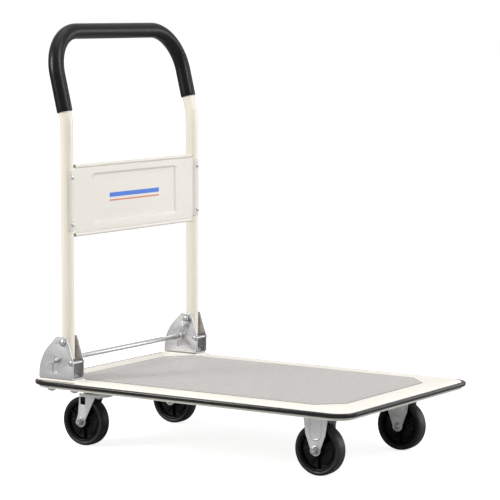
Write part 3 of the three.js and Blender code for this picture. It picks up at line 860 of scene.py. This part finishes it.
def bracket_mesh():
    """The blank with its two side plates bent up about its web."""
    outline, holes, flat, run = bracket_blank()
    mesh = plate(outline, holes, SHEET, 0.0004, 2)
    bm = bmesh.new()
    bm.from_mesh(mesh)
    for sign in (1, -1):
        sliced(bm, Y, [sign * (flat + run * i / BEND_STEPS) for i in range(BEND_STEPS + 1)])
    for vertex in bm.verts:
        x, s, lift = vertex.co
        sign = 1 if s >= 0 else -1
        beyond = abs(s) - flat
        radius = BEND - SHEET / 2 - lift
        if beyond <= 0:
            y, z = abs(s), SHEET / 2 + lift
        elif beyond < run:
            turn = beyond / (BEND - SHEET / 2)
            y = flat + radius * math.sin(turn)
            z = BEND - radius * math.cos(turn)
        else:
            y, z = flat + radius, BEND + beyond - run
        vertex.co = (x, BRACKET_MIDDLE + sign * y, BRACKET_LOW + z)
    bmesh.ops.recalc_face_normals(bm, faces=bm.faces)
    bm.to_mesh(mesh)
    bm.free()
    return mesh


def pivot_bolt_mesh():
    """A bolt through both plates: a round head outside, and a groove for the spring's hook inside."""
    seat = BRACKET_OUTER + 0.0003
    profile = [(0, 0.184), (0.0038, 0.184), (0.0045, 0.1847), (0.0045, 0.1866), (0.0041, 0.1872),
               (0.0041, 0.1888), (0.0045, 0.1894), (0.0045, seat), (0.0070, seat)]
    profile += [(radius, seat + out) for radius, out in round_head(0.0070, 0.0040, 0.0008, 6)]
    return lathe_y(profile)


def stop_pin_mesh():
    """A pin through both plates, with a round head on each side."""
    outer = BRACKET_OUTER + 0.0003
    inner = BRACKET_OUTER - BRACKET_WIDTH - 0.0003
    head = round_head(0.0055, 0.0025, 0.0005, 5)
    profile = [(radius, inner - out) for radius, out in head[::-1]]
    profile += [(0.0055, inner), (0.004, inner), (0.004, outer), (0.0055, outer)]
    profile += [(radius, outer + out) for radius, out in head]
    return lathe_y(profile)


def build_base_fasteners(bright, zinc):
    seat = BRACKET_LOW + SHEET + 0.0003
    for end, x in BOLT_XS.items():
        for name, side in SIDES.items():
            spot = (x, side * BOLT_Y, 0)
            head = moved(hexagon_body(BASE_BOLT["flats"], BASE_BOLT["head"]), (0, 0, seat))
            shank = threaded_rod(BASE_BOLT["radius"], BASE_BOLT["low"], seat + 0.0005)
            bolt = turned(joined(head, shank), math.radians(17 if end == "front" else 44), "Z")
            stand_in(f"base_bolt_{end}_{name}", "body", moved(bolt, spot), bright)
            nut = hexagon_body(BASE_NUT["flats"], BASE_NUT["height"], BASE_NUT["bore"])
            moved(nut, (0, 0, BASE_NUT["low"]))
            stand_in(f"base_nut_{end}_{name}", "body", moved(nut, spot), zinc)


BAR_HALF = 0.242
BAR_RADIUS = 0.005
BAR_END = 0.0037
BAR_SHOULDER = 0.2325
BAR_PIN = {"radius": 0.0022, "half": 0.0125, "y": 0.2375, "tilt": math.radians(-22)}


def bar_mesh():
    """The round release bar, turned down at both ends, with a washer and a clip beside each inner plate."""
    half = [(BAR_RADIUS, 0.186), (BAR_RADIUS - 0.0003, 0.1866), (BAR_RADIUS - 0.0003, 0.1894),
            (BAR_RADIUS, 0.190), (BAR_RADIUS, BAR_SHOULDER - 0.0007),
            (BAR_RADIUS - 0.0007, BAR_SHOULDER), (BAR_END, BAR_SHOULDER),
            (BAR_END, BAR_HALF - 0.0007), (BAR_END - 0.0007, BAR_HALF), (0, BAR_HALF)]
    rod = lathe_y([(r, -y) for r, y in half[::-1]] + half)
    inner = BRACKET_OUTER - BRACKET_WIDTH
    washers = []
    for side in SIDES.values():
        rim = [(BAR_RADIUS - 0.0001, inner - 0.0016), (0.0077, inner - 0.0016), (0.0081, inner - 0.0012),
               (0.0081, inner - 0.0007), (0.0077, inner - 0.0003), (BAR_RADIUS - 0.0001, inner - 0.0003)]
        clip = [(r * 0.86 if r > BAR_RADIUS else r, y - 0.0016) for r, y in rim]
        for outline in (rim, clip):
            washers.append(mirrored(lathe_y(outline, loop=True), side))
    return moved(joined(rod, *washers), BAR)


def bar_pin_mesh():
    """A small pin across the bar's end, tilted in the upright plane."""
    radius, half = BAR_PIN["radius"], BAR_PIN["half"]
    profile = [(0, -half), (radius - 0.0005, -half), (radius, -half + 0.0005),
               (radius, half - 0.0005), (radius - 0.0005, half), (0, half)]
    pin = turned(lathe(profile, 20, "X"), BAR_PIN["tilt"], "Y")
    return moved(pin, BAR + Y * BAR_PIN["y"])


SPRING_Y = 0.188
WIRE = 0.0010
COIL = 0.0034
HOOK = 0.0054


def spring_path():
    """The wire's points: a short hook, a close coil, and a long hook, as (along, aside, across)."""
    reach = (BAR - PIVOT).length
    points = []
    for degrees in range(40, 321, 20):
        turn = math.radians(degrees)
        points.append((HOOK * math.cos(turn), HOOK * math.sin(turn), 0))
    coil_start, coil_stop, turns, steps_per_turn = 0.0085, 0.0172, 5, 16
    steps = turns * steps_per_turn
    for i in range(steps + 1):
        turn = math.pi + 2 * math.pi * i / steps_per_turn
        along = coil_start + (coil_stop - coil_start) * i / steps
        points.append((along, COIL * math.cos(turn), COIL * math.sin(turn)))
    far = BAR_RADIUS + WIRE + 0.0001
    points.append((coil_stop + 0.003, -COIL, 0))
    for degrees in range(-90, 91, 15):
        turn = math.radians(degrees)
        points.append((reach + far * math.cos(turn), far * math.sin(turn), 0))
    points.append((coil_stop + 0.0040, COIL, 0))
    points.append((coil_stop + 0.0012, COIL, 0))
    return points


def spring_mesh():
    along = (BAR - PIVOT).normalized()
    aside = Y.cross(along)
    spots = [PIVOT + Y * SPRING_Y + along * u + aside * v + Y * w for u, v, w in spring_path()]
    return sweep(spots, WIRE, 8)


def build_hinges(zinc, bright, fastener, wire):
    for name, side in SIDES.items():
        stand_in(f"hinge_bracket_{name}", "plate", mirrored(bracket_mesh(), side), zinc)
        bolt = moved(pivot_bolt_mesh(), (PIVOT.x, 0, PIVOT.z))
        stand_in(f"pivot_bolt_{name}", "body", mirrored(bolt, side), fastener)
        pin = moved(stop_pin_mesh(), STOP)
        stand_in(f"stop_pin_{name}", "body", mirrored(pin, side), fastener)
        stand_in(f"bar_pin_{name}", "body", mirrored(bar_pin_mesh(), side), bright)
        spring = piece(f"return_spring_{name}_wire", mirrored(spring_mesh(), side), wire, None,
                       "spring_steel", f"return_spring_{name}", crease=60)
        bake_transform(spring)
    stand_in("release_bar", "rod", bar_mesh(), bright)
    build_base_fasteners(fastener, zinc)


# ------------------------------------------------------------------ handle

TUBE = {"radius": 0.0127, "bore": 0.0113, "x": -0.290, "y": 0.2142, "foot": 0.183}
LEAN = {"start": 0.6415, "radius": 0.120, "angle": math.radians(13.8)}
TOP_BAR = {"z": 0.8298, "corner": 0.087}
GRIP = {"radius": 0.0156, "bore": 0.0131, "starts": {"left": 0.0204, "right": 0.0024}}


def arc_stations(point, tangent, inward, radius, angle, steps):
    stations = []
    for i in range(steps + 1):
        turn = angle * i / steps
        spot = point + tangent * (radius * math.sin(turn)) + inward * (radius * (1 - math.cos(turn)))
        stations.append((spot, tangent * math.cos(turn) + inward * math.sin(turn)))
    return stations


def straight_stations(start, stop, tangent, steps):
    return [(start.lerp(stop, i / steps), tangent) for i in range(1, steps)]


def leg_stations(grip_start):
    """Up the right leg: from its foot, or from grip_start past the end of the lean's bend."""
    lean_start = Vector((TUBE["x"], -TUBE["y"], LEAN["start"]))
    lean = arc_stations(lean_start, Z, -X, LEAN["radius"], LEAN["angle"], 12)
    end, slope = lean[-1]
    straight = (TOP_BAR["z"] - end.z) / slope.z - TOP_BAR["corner"]
    corner_start = end + slope * straight
    corner = arc_stations(corner_start, slope, Y, TOP_BAR["corner"], math.pi / 2, 24)
    if grip_start is None:
        foot = Vector((TUBE["x"], -TUBE["y"], TUBE["foot"]))
        below = [(foot, Z)] + straight_stations(foot, lean[0][0], Z, 8) + lean
        return below + straight_stations(end, corner_start, slope, 3) + corner
    start = end + slope * grip_start
    return [(start, slope)] + straight_stations(start, corner_start, slope, 6) + corner


def arch_stations(grip_starts):
    """Points and tangents from the right leg over the top to the left one."""
    right = leg_stations(grip_starts.get("right"))
    left = leg_stations(grip_starts.get("left"))[::-1]
    mirror = [(Vector((p.x, -p.y, p.z)), Vector((-t.x, t.y, -t.z))) for p, t in left]
    return right + straight_stations(right[-1][0], mirror[0][0], Y, 6) + mirror


def hollow_tube(stations, radius, bore, ends, sides=40):
    """A tube with a wall. Each end is rounded by (distance in, radius lost) pairs, outermost first."""
    (start, ahead), (stop, behind) = stations[0], stations[-1]
    outer = [(start + ahead * inward, ahead, radius - lost) for inward, lost in ends]
    outer += [(point, tangent, radius) for point, tangent in stations[1:-1]]
    outer += [(stop - behind * inward, behind, radius - lost) for inward, lost in ends[::-1]]
    inner = [(point, tangent, bore) for point, tangent in stations[::-1]]
    rings = []
    for point, tangent, size in outer + inner:
        normal = (X - tangent * X.dot(tangent)).normalized()
        rings.append(ring_about(point, tangent, normal, size, sides))
    return rings_mesh(rings, loop=True)


def build_tube(paint):
    ends = ((0.0, 0.0004), (0.0004, 0.0))
    mesh = hollow_tube(arch_stations({}), TUBE["radius"], TUBE["bore"], ends)
    piece("handle_arch", mesh, paint, "handle", "cream_paint", "handle_tube")


def build_grip(foam):
    ends = ((0.0, 0.0022), (0.0001, 0.0012), (0.0006, 0.0005), (0.0014, 0.0001), (0.0024, 0.0))
    mesh = hollow_tube(arch_stations(GRIP["starts"]), GRIP["radius"], GRIP["bore"], ends)
    piece("handle_grip", mesh, foam, "handle", "black_foam", "grip_sleeve")


PANEL = {"low": 0.429, "high": 0.565, "face": 0.0095, "sheet": 0.0012, "roll": 0.0038, "proud": 0.0015,
         "roll_half_y": 0.200}
SADDLE = {"low": 0.438, "high": 0.559, "radius": 0.0142, "angle": 41.5}
RECESS = {"half_y": 0.1405, "low": 0.4505, "high": 0.5465, "depth": 0.0025, "edge": 0.0050, "corner": 0.004}
GROOVE = {"half": 0.0009, "depth": 0.0009}
RIVET_ZS = {"upper": 0.5445, "lower": 0.451}


def panel_plan():
    """The front surface in plan, from the right saddle's edge to the left one's: (x, y) points."""
    radius = SADDLE["radius"]
    meet = math.degrees(math.acos(PANEL["face"] / radius))
    right = arc((TUBE["x"], -TUBE["y"]), radius, -SADDLE["angle"], meet, 12)
    face_x = TUBE["x"] + PANEL["face"]
    start = right[-1][1]
    fillet = [(face_x + 0.0001, start + 0.0006), (face_x, start + 0.0018)]
    ys = [-PANEL["roll_half_y"], -0.199]
    ys += [-0.19 + 0.01 * i for i in range(5)]
    edge = RECESS["edge"]
    ys += [-RECESS["half_y"] - 0.001 + edge * i / 5 for i in range(7)]
    ys += [-0.13 + 0.02 * i for i in range(7)]
    flat = [(face_x, y) for y in ys if y > start + 0.002]
    half = right + fillet + flat
    return half + [(x, -y) for x, y in half[::-1]]


def smooth_step(value):
    value = min(1.0, max(0.0, value))
    return value * value * (3 - 2 * value)


def recess_depth(y, z):
    """How far the pressed field lies behind the face at a place, fading over its edge."""
    middle = (RECESS["low"] + RECESS["high"]) / 2
    corner = RECESS["corner"]
    over_y = abs(y) - (RECESS["half_y"] - corner)
    over_z = abs(z - middle) - ((RECESS["high"] - RECESS["low"]) / 2 - corner)
    outside = Vector((max(over_y, 0), max(over_z, 0))).length + min(max(over_y, over_z), 0) - corner
    return RECESS["depth"] * smooth_step(0.5 - outside / RECESS["edge"])


def panel_rows():
    """Up the sheet: (how far back from the face, z, whether it is part of a rolled edge)."""
    roll, proud = PANEL["roll"], PANEL["proud"]
    crease = math.degrees(math.acos((roll - proud) / roll))
    curl = []
    for i in range(17):
        turn = math.radians(-crease + (250 + crease) * i / 16)
        curl.append((roll * (1 - math.cos(turn)) - proud, roll * math.sin(turn)))
    edge = RECESS["edge"]
    face = [SADDLE["low"], 0.552, 0.5555, SADDLE["high"]]
    for line in (RECESS["low"], RECESS["high"]):
        face += [line - edge / 2 - 0.0002 + (edge + 0.0004) * i / 8 for i in range(9)]
    face += [0.462 + 0.0145 * i for i in range(6)]
    rows = [(back, PANEL["low"] - rise, True) for back, rise in curl[:0:-1]]
    groove = ((0.0, 0.0), (GROOVE["depth"], GROOVE["half"]), (0.0, 2 * GROOVE["half"]))
    rows += [(back, PANEL["low"] - curl[0][1] + inward, True) for back, inward in groove]
    rows += [(0.0, z, False) for z in sorted(face)]
    rows += [(back, PANEL["high"] + curl[0][1] - inward, True) for back, inward in groove[::-1]]
    rows += [(back, PANEL["high"] + rise, True) for back, rise in curl[1:]]
    return rows


def panel_mesh():
    """One bent sheet: flat with a pressed field, wrapped round the tubes, its long edges rolled back."""
    plan = panel_plan()
    rows = panel_rows()
    vertices = []
    for back, z, rolled in rows:
        for x, y in plan:
            pressed = 0 if rolled else recess_depth(y, z)
            vertices.append((x - back - pressed, y, z))
    width = len(plan)
    faces = []
    for i in range(len(rows) - 1):
        within = not rows[i][2] and not rows[i + 1][2] and rows[i][1] >= SADDLE["low"] - 1e-6
        for j in range(width - 1):
            reach = max(abs(plan[j][1]), abs(plan[j + 1][1]))
            if within or reach <= PANEL["roll_half_y"] + 1e-6:
                a = i * width + j
                faces.append((a, a + 1, a + width + 1, a + width))
    mesh = bpy.data.meshes.new("panel")
    mesh.from_pydata(vertices, [], faces)
    mesh.validate()
    return thickened(mesh, PANEL["sheet"])


def thickened(mesh, thickness):
    """A sheet given its thickness away from its face, with softened edges."""
    bm = bmesh.new()
    bm.from_mesh(mesh)
    loose = [vertex for vertex in bm.verts if not vertex.link_faces]
    bmesh.ops.delete(bm, geom=loose, context="VERTS")
    bm.to_mesh(mesh)
    bm.free()
    holder = bpy.data.objects.new("sheet", mesh)
    SCENE.collection.objects.link(holder)
    solid = holder.modifiers.new("thickness", "SOLIDIFY")
    solid.thickness = thickness
    solid.offset = -1
    solid.use_even_offset = True
    solid.use_rim = True
    soften = holder.modifiers.new("soften", "BEVEL")
    soften.limit_method = "ANGLE"
    soften.angle_limit = math.radians(60)
    soften.width = 0.0003
    soften.segments = 2
    bpy.context.view_layer.update()
    result = bpy.data.meshes.new_from_object(holder.evaluated_get(bpy.context.evaluated_depsgraph_get()))
    bpy.data.objects.remove(holder)
    return result


def build_panel(paint, bright):
    piece("panel_sheet", panel_mesh(), paint, "handle", "panel_paint", "sign_panel", crease=30)
    seat = TUBE["x"] + SADDLE["radius"] + 0.0003
    for level, z in RIVET_ZS.items():
        for name, side in SIDES.items():
            head = turned(dome(0.0045, 0.0026), math.pi / 2, "Y")
            shank = lathe([(0, -0.004), (0.0024, -0.004), (0.0024, 0.0004), (0, 0.0004)], 20)
            turned(shank, math.pi / 2, "Y")
            mesh = moved(joined(head, shank), (seat, side * TUBE["y"], z))
            stand_in(f"panel_rivet_{level}_{name}", "dome", mesh, bright)


# ------------------------------------------------------------------ casters

CASTER_Y = 0.154
FRONT_X = 0.261
SWIVEL_X = -0.261
TRAIL = 0.032
WHEEL_RADIUS = 0.050
FORK_INNER = 0.016
PLATE_HALF = (0.050, 0.038)
PLATE_LOW, PLATE_HIGH = 0.1217, 0.1242
PLATE_BOLTS = (0.039, 0.0275)
AXLE_SEAT = FORK_INNER + SHEET + 0.0003


def tyre_mesh():
    """The solid rubber ring: a rounded tread, a shoulder line and a lip at the rim."""
    half = [(0.0413, -0.0118), (0.0417, -0.0124), (0.0432, -0.0130), (0.0446, -0.0134), (0.0458, -0.0135),
            (0.0468, -0.0133), (0.0478, -0.0127), (0.0487, -0.0115), (0.0494, -0.0098), (0.0498, -0.0075),
            (0.04995, -0.0045), (0.050, -0.001)]
    return lathe_y(both_faces(half), 96, loop=True)


def core_disc():
    """Rim, dished web and hub, the same on both faces."""
    half = [(0.0053, -0.0155), (0.0100, -0.0155), (0.0108, -0.0152), (0.0113, -0.0145), (0.0124, -0.0098),
            (0.0142, -0.0062), (0.0160, -0.0051), (0.0240, -0.0040), (0.0320, -0.0037), (0.0345, -0.0044),
            (0.0358, -0.0068), (0.0368, -0.0100), (0.0376, -0.0112), (0.0388, -0.0117), (0.0402, -0.0117),
            (0.0410, -0.0112)]
    return lathe_y(both_faces(half), 96, loop=True)


def core_rib(turn):
    """A rib that falls from the hub to the rim, on both faces of the web."""
    section = [(0.0100, 0.0135), (0.0150, 0.0112), (0.0240, 0.0093), (0.0330, 0.0092), (0.0372, 0.0100)]
    half, soft = 0.0016, 0.0008
    rings = []
    for radius, height in section:
        low = [(-height, -half * 0.7), (-height + soft, -half), (height - soft, -half), (height, -half * 0.7)]
        rings.append([(radius, y, z) for y, z in low + [(y, -z) for y, z in low[::-1]]])
    return turned(rings_mesh(rings), turn, "Y")


def rounded_polygon(points, radius):
    """A closed outline with each sharp corner cut back and rounded."""
    rounded = []
    count = len(points)
    for i in range(count):
        before, here, after = Vector(points[i - 1]), Vector(points[i]), Vector(points[(i + 1) % count])
        into, out = here - before, after - here
        bend = abs(into.angle(out)) if into.length > 1e-9 and out.length > 1e-9 else 0
        if bend < math.radians(30):
            rounded.append(tuple(here))
            continue
        reach = min(radius, into.length * 0.45, out.length * 0.45)
        first, last = here - into.normalized() * reach, here + out.normalized() * reach
        for t in (0, 0.25, 0.5, 0.75, 1):
            rounded.append(tuple(first * (1 - t) ** 2 + here * 2 * t * (1 - t) + last * t * t))
    return rounded


def core_petal(turn, face):
    """A raised pad on the web between two ribs, with a rounded outline and soft edges."""
    inner, outer, spread = 0.0172, 0.0325, 42
    outline = arc((0, 0), outer, -spread + 8, spread - 8, 14)
    outline += arc((0, 0), inner, spread - 4, -spread + 4, 8)
    rounds = rounded_polygon(outline, 0.0022)
    pad = plate(rounds, [], 0.0032, 0.0009, 3)
    turned(pad, math.pi / 2, "X")
    moved(pad, (0, face * 0.0048, 0))
    return turned(pad, turn, "Y")


def core_mesh():
    """The wheel's core: its disc, three ribs, and a pad between each two of them on either face."""
    ribs = [core_rib(math.pi / 2 + i * 2 * math.pi / 3) for i in range(3)]
    petals = [core_petal(math.pi / 2 + (i + 0.5) * 2 * math.pi / 3, face)
              for i in range(3) for face in (1, -1)]
    return joined(core_disc(), *ribs, *petals)


def axle_bolt_mesh():
    """Along +Y to the outside: a round head inside the fork, and a threaded end beyond the nut."""
    radius = 0.005
    head = [(size, -AXLE_SEAT - out) for size, out in round_head(0.0065, 0.0040, 0.0008, 6)[::-1]]
    thread_start, end, pitch = AXLE_SEAT + 0.0002, 0.029, 0.0013
    profile = head + [(0.0065, -AXLE_SEAT), (radius, -AXLE_SEAT), (radius, thread_start)]
    count = int((end - 0.0008 - thread_start) / pitch)
    for i in range(count):
        at = thread_start + i * pitch
        profile += [(radius - 0.0006, at + 0.35 * pitch), (radius, at + 0.85 * pitch)]
    profile += [(radius - 0.0008, end), (0, end)]
    return lathe_y(profile, 32)


def axle_nut_mesh():
    """A flanged hexagon nut with a round locking collar."""
    rim = [(0.0052, 0.0), (0.0084, 0.0), (0.0085, 0.0003), (0.0084, 0.0009), (0.0074, 0.0014),
           (0.0052, 0.0014)]
    flange = lathe(rim, loop=True)
    body = moved(hexagon_body(0.0147, 0.0052, bore=0.0052), (0, 0, 0.0011))
    collar = lathe([(0.0052, 0.0058), (0.0069, 0.0058), (0.0069, 0.0070), (0.0066, 0.0078), (0.0060, 0.0080),
                    (0.0052, 0.0080)], loop=True)
    mesh = turned(joined(flange, body, collar), -math.pi / 2, "X")
    return moved(mesh, (0, AXLE_SEAT, 0))


def build_wheel(end, name, side, x, nylon, rubber, bright):
    spot = (x, side * CASTER_Y, WHEEL_RADIUS)
    stand_in(f"{end}_tyre_{name}", "ring", moved(tyre_mesh(), spot), rubber)
    stand_in(f"{end}_wheel_core_{name}", "moulding", moved(core_mesh(), spot), nylon)
    bolt = moved(mirrored(axle_bolt_mesh(), side), spot)
    stand_in(f"{end}_axle_bolt_{name}", "body", bolt, bright)
    nut = moved(mirrored(turned(axle_nut_mesh(), math.radians(11), "Y"), side), spot)
    stand_in(f"{end}_axle_nut_{name}", "body", nut, bright)


def caster_plate_mesh(bore=0.0):
    """The mounting plate, with rounded corners and four bolt holes."""
    holes = [circle((sx * PLATE_BOLTS[0], sy * PLATE_BOLTS[1]), 0.0044, 24)
             for sx in (1, -1) for sy in (1, -1)]
    if bore:
        holes.append(circle((0, 0), bore, 32))
    mesh = plate(rounded_rectangle(*PLATE_HALF, 0.008), holes, PLATE_HIGH - PLATE_LOW, 0.0004)
    return moved(mesh, (0, 0, (PLATE_LOW + PLATE_HIGH) / 2))


def caster_bolts_mesh():
    """Four bolts up through the plate, each with a washer under its head and a nut in the channel."""
    parts = []
    web_top = 0.1265
    for i, (sx, sy) in enumerate(CORNERS):
        washer = lathe([(0.0042, PLATE_LOW - 0.0016), (0.0078, PLATE_LOW - 0.0016),
                        (0.0080, PLATE_LOW - 0.0013), (0.0080, PLATE_LOW - 0.0004),
                        (0.0042, PLATE_LOW - 0.0002)], 32, loop=True)
        head = moved(hexagon_body(0.0128, 0.0050), (0, 0, PLATE_LOW - 0.0066))
        shank = threaded_rod(0.0040, PLATE_LOW - 0.0030, web_top + 0.0088)
        nut = moved(hexagon_body(0.0128, 0.0062, bore=0.0041), (0, 0, web_top + 0.0002))
        bolt = turned(joined(head, shank, nut), 0.35 + 0.7 * i, "Z")
        parts.append(moved(joined(washer, bolt), (sx * PLATE_BOLTS[0], sy * PLATE_BOLTS[1], 0)))
    return joined(*parts)


def raised_bead(path, y, outer, radius=0.0022, proud=0.0015):
    """A half-round bead pressed out of a fork leg along a path drawn in X and Z."""
    spots = [Vector((x, y - outer * (radius - proud), z)) for x, z in path]
    return sweep(spots, radius, 14, end_share=0.62)


def front_leg_outline():
    """A front leg in X and Z about its axle, narrowing down to a round foot."""
    left = [(-0.0280, PLATE_LOW + 0.0005), (-0.0274, 0.1165), (-0.0262, 0.1110),
            (-0.0240, 0.0955), (-0.0220, 0.0800)]
    foot = arc((0, WHEEL_RADIUS), 0.011, 172, 368, 22)
    return left + foot + [(-x, z) for x, z in left[::-1]]


def front_fork_mesh():
    """A mounting plate and two legs, joined by bent shoulders, with a pressed bead round each leg."""
    parts = [caster_plate_mesh()]
    path = [(-0.0124, 0.112), (-0.0124, 0.100), (-0.0124, 0.0885), (-0.0122, 0.0850)]
    path += arc((0, 0.0826), 0.0124, 190, 350, 14) + [(-x, z) for x, z in path[::-1]]
    for side in SIDES.values():
        leg = plate(front_leg_outline(), [circle((0, WHEEL_RADIUS), 0.0053)], SHEET, 0.0005)
        middle = side * (FORK_INNER + SHEET / 2)
        parts.append(upright(leg, middle))
        parts.append(raised_bead(path, middle + side * SHEET / 2, side))
        start = side * (FORK_INNER + SHEET)
        fillet = [(start - side * 0.0008, PLATE_LOW + 0.0004), (start + side * 0.0052, PLATE_LOW + 0.0004)]
        fillet += [(start + side * (0.0045 - 0.0045 * math.cos(t)), PLATE_LOW - 0.0045 + 0.0045 * math.sin(t))
                   for t in (math.radians(90 - 15 * i) for i in range(7))]
        fillet += [(start - side * 0.0008, PLATE_LOW - 0.0050)]
        parts.append(extruded(fillet, (-0.0272, 0.0272), "X"))
    return joined(*parts)


def swivel_leg_blank():
    """One flat leg: its outline in X and Z about the swivel, with a window and the axle's hole."""
    foot = arc((-TRAIL, WHEEL_RADIUS), 0.0112, 158, 376, 24)
    rear = [(-0.0355, 0.1075), (-0.0366, 0.0900), (-0.0388, 0.0650)]
    front = [(-0.0014, 0.0950), (0.0046, 0.1075)]
    window = rounded_rectangle(0.006, 0.0078, 0.0008, 3, (-0.0267, 0.0928))
    return plate(rear + foot + front, [window, circle((-TRAIL, WHEEL_RADIUS), 0.0053)], SHEET, 0.0005)


def swivel_leg(side):
    """A leg with its front part turned in along a soft crease."""
    crease, slant, soft = -0.0192, math.tan(math.radians(9)), 0.0012
    mesh = swivel_leg_blank()
    bm = bmesh.new()
    bm.from_mesh(mesh)
    sliced(bm, X, [crease + share * soft for share in (-1, -0.33, 0.33, 1)])
    for vertex in bm.verts:
        beyond = vertex.co.x - crease
        if beyond > soft:
            vertex.co.z -= slant * beyond
        elif beyond > -soft:
            vertex.co.z -= slant * (beyond + soft) ** 2 / (4 * soft)
    bm.to_mesh(mesh)
    bm.free()
    leg = mirrored(upright(mesh, 0), -1)
    return mirrored(moved(leg, (0, FORK_INNER + SHEET / 2, 0)), side)


def crown_mesh():
    """The round top of the swivel fork, dished, with soft edges."""
    low, high, radius = 0.103, 0.111, 0.031
    profile = [(0.0063, low + 0.0042), (0.0200, low + 0.0042), (0.0240, low + 0.0034), (0.0278, low + 0.0006),
               (0.0292, low), (0.0306, low + 0.0006), (radius, low + 0.0018), (radius, high - 0.0022),
               (0.0303, high - 0.0008), (0.0288, high), (0.0063, high)]
    return lathe(profile, 72, loop=True)


def race_mesh():
    """Upper and lower cups of the ball race with the narrow gap between them."""
    low, high = 0.1113, 0.1214
    profile = [(0.0063, low), (0.0255, low), (0.0266, low + 0.0006), (0.0282, low + 0.0030),
               (0.0282, low + 0.0041), (0.0268, low + 0.0046), (0.0262, low + 0.0050),
               (0.0270, low + 0.0056), (0.0290, low + 0.0062), (0.0290, low + 0.0078),
               (0.0284, low + 0.0088), (0.0262, high), (0.0063, high)]
    return lathe(profile, 72, loop=True)


def kingpin_mesh():
    """The swivel's pin, riveted over above the plate, with a hexagon foot under the crown."""
    foot = moved(hexagon_body(0.0138, 0.0057), (0, 0, 0.0970))
    profile = [(0, 0.1010), (0.0060, 0.1010), (0.0060, 0.1245), (0.0088, 0.1246), (0.0090, 0.1252),
               (0.0086, 0.1266), (0.0074, 0.1276), (0.0050, 0.1280), (0, 0.1280)]
    return joined(foot, lathe(profile, 40))


def build_casters(zinc, light, bright, nylon, rubber):
    for name, side in SIDES.items():
        front = (FRONT_X, side * CASTER_Y, 0)
        rear = (SWIVEL_X, side * CASTER_Y, 0)
        stand_in(f"front_fork_{name}", "pressing", moved(front_fork_mesh(), front), light, crease=35)
        stand_in(f"caster_plate_{name}", "pressing", moved(caster_plate_mesh(0.0063), rear), light)
        stand_in(f"ball_race_{name}", "cups", moved(race_mesh(), rear), zinc)
        stand_in(f"kingpin_{name}", "body", moved(kingpin_mesh(), rear), bright)
        fork = joined(crown_mesh(), swivel_leg(1), swivel_leg(-1))
        stand_in(f"swivel_fork_{name}", "pressing", moved(fork, rear), light)
        for end, spot in (("front", front), ("rear", rear)):
            piece(f"caster_bolts_{end}_{name}", moved(caster_bolts_mesh(), spot), bright, "platform",
                  "bright_zinc")
        build_wheel("front", name, side, FRONT_X, nylon, rubber, bright)
        build_wheel("rear", name, side, SWIVEL_X - TRAIL, nylon, rubber, bright)


# ------------------------------------------------------------------ the whole cart


def build_cart():
    cream = powder_coat("cream_coat", CREAM_COLOUR)
    panel_coat = panel_paint()
    zinc = zinc_sheet()
    light = light_zinc()
    bright = bright_zinc()
    fastener = fastener_zinc()
    wire = spring_wire()
    build_deck(powder_coat("deck_coat", DECK_COLOUR))
    build_mat(mat_vinyl())
    build_bumper(edge_rubber())
    for name in ("rear_cross_member", "front_cross_member"):
        build_cross_member(name, cream)
    build_hinges(zinc, bright, fastener, wire)
    build_tube(cream)
    build_grip(grip_foam())
    build_panel(panel_coat, bright)
    build_casters(zinc, light, fastener, moulded_nylon(), tyre_rubber())


def light_studio():
    studio_world()
    for light in LIGHTS:
        area_light(*light)


build_cart()
floor_plane()
light_studio()
place_camera()
SCENE.view_settings.view_transform = "Standard"
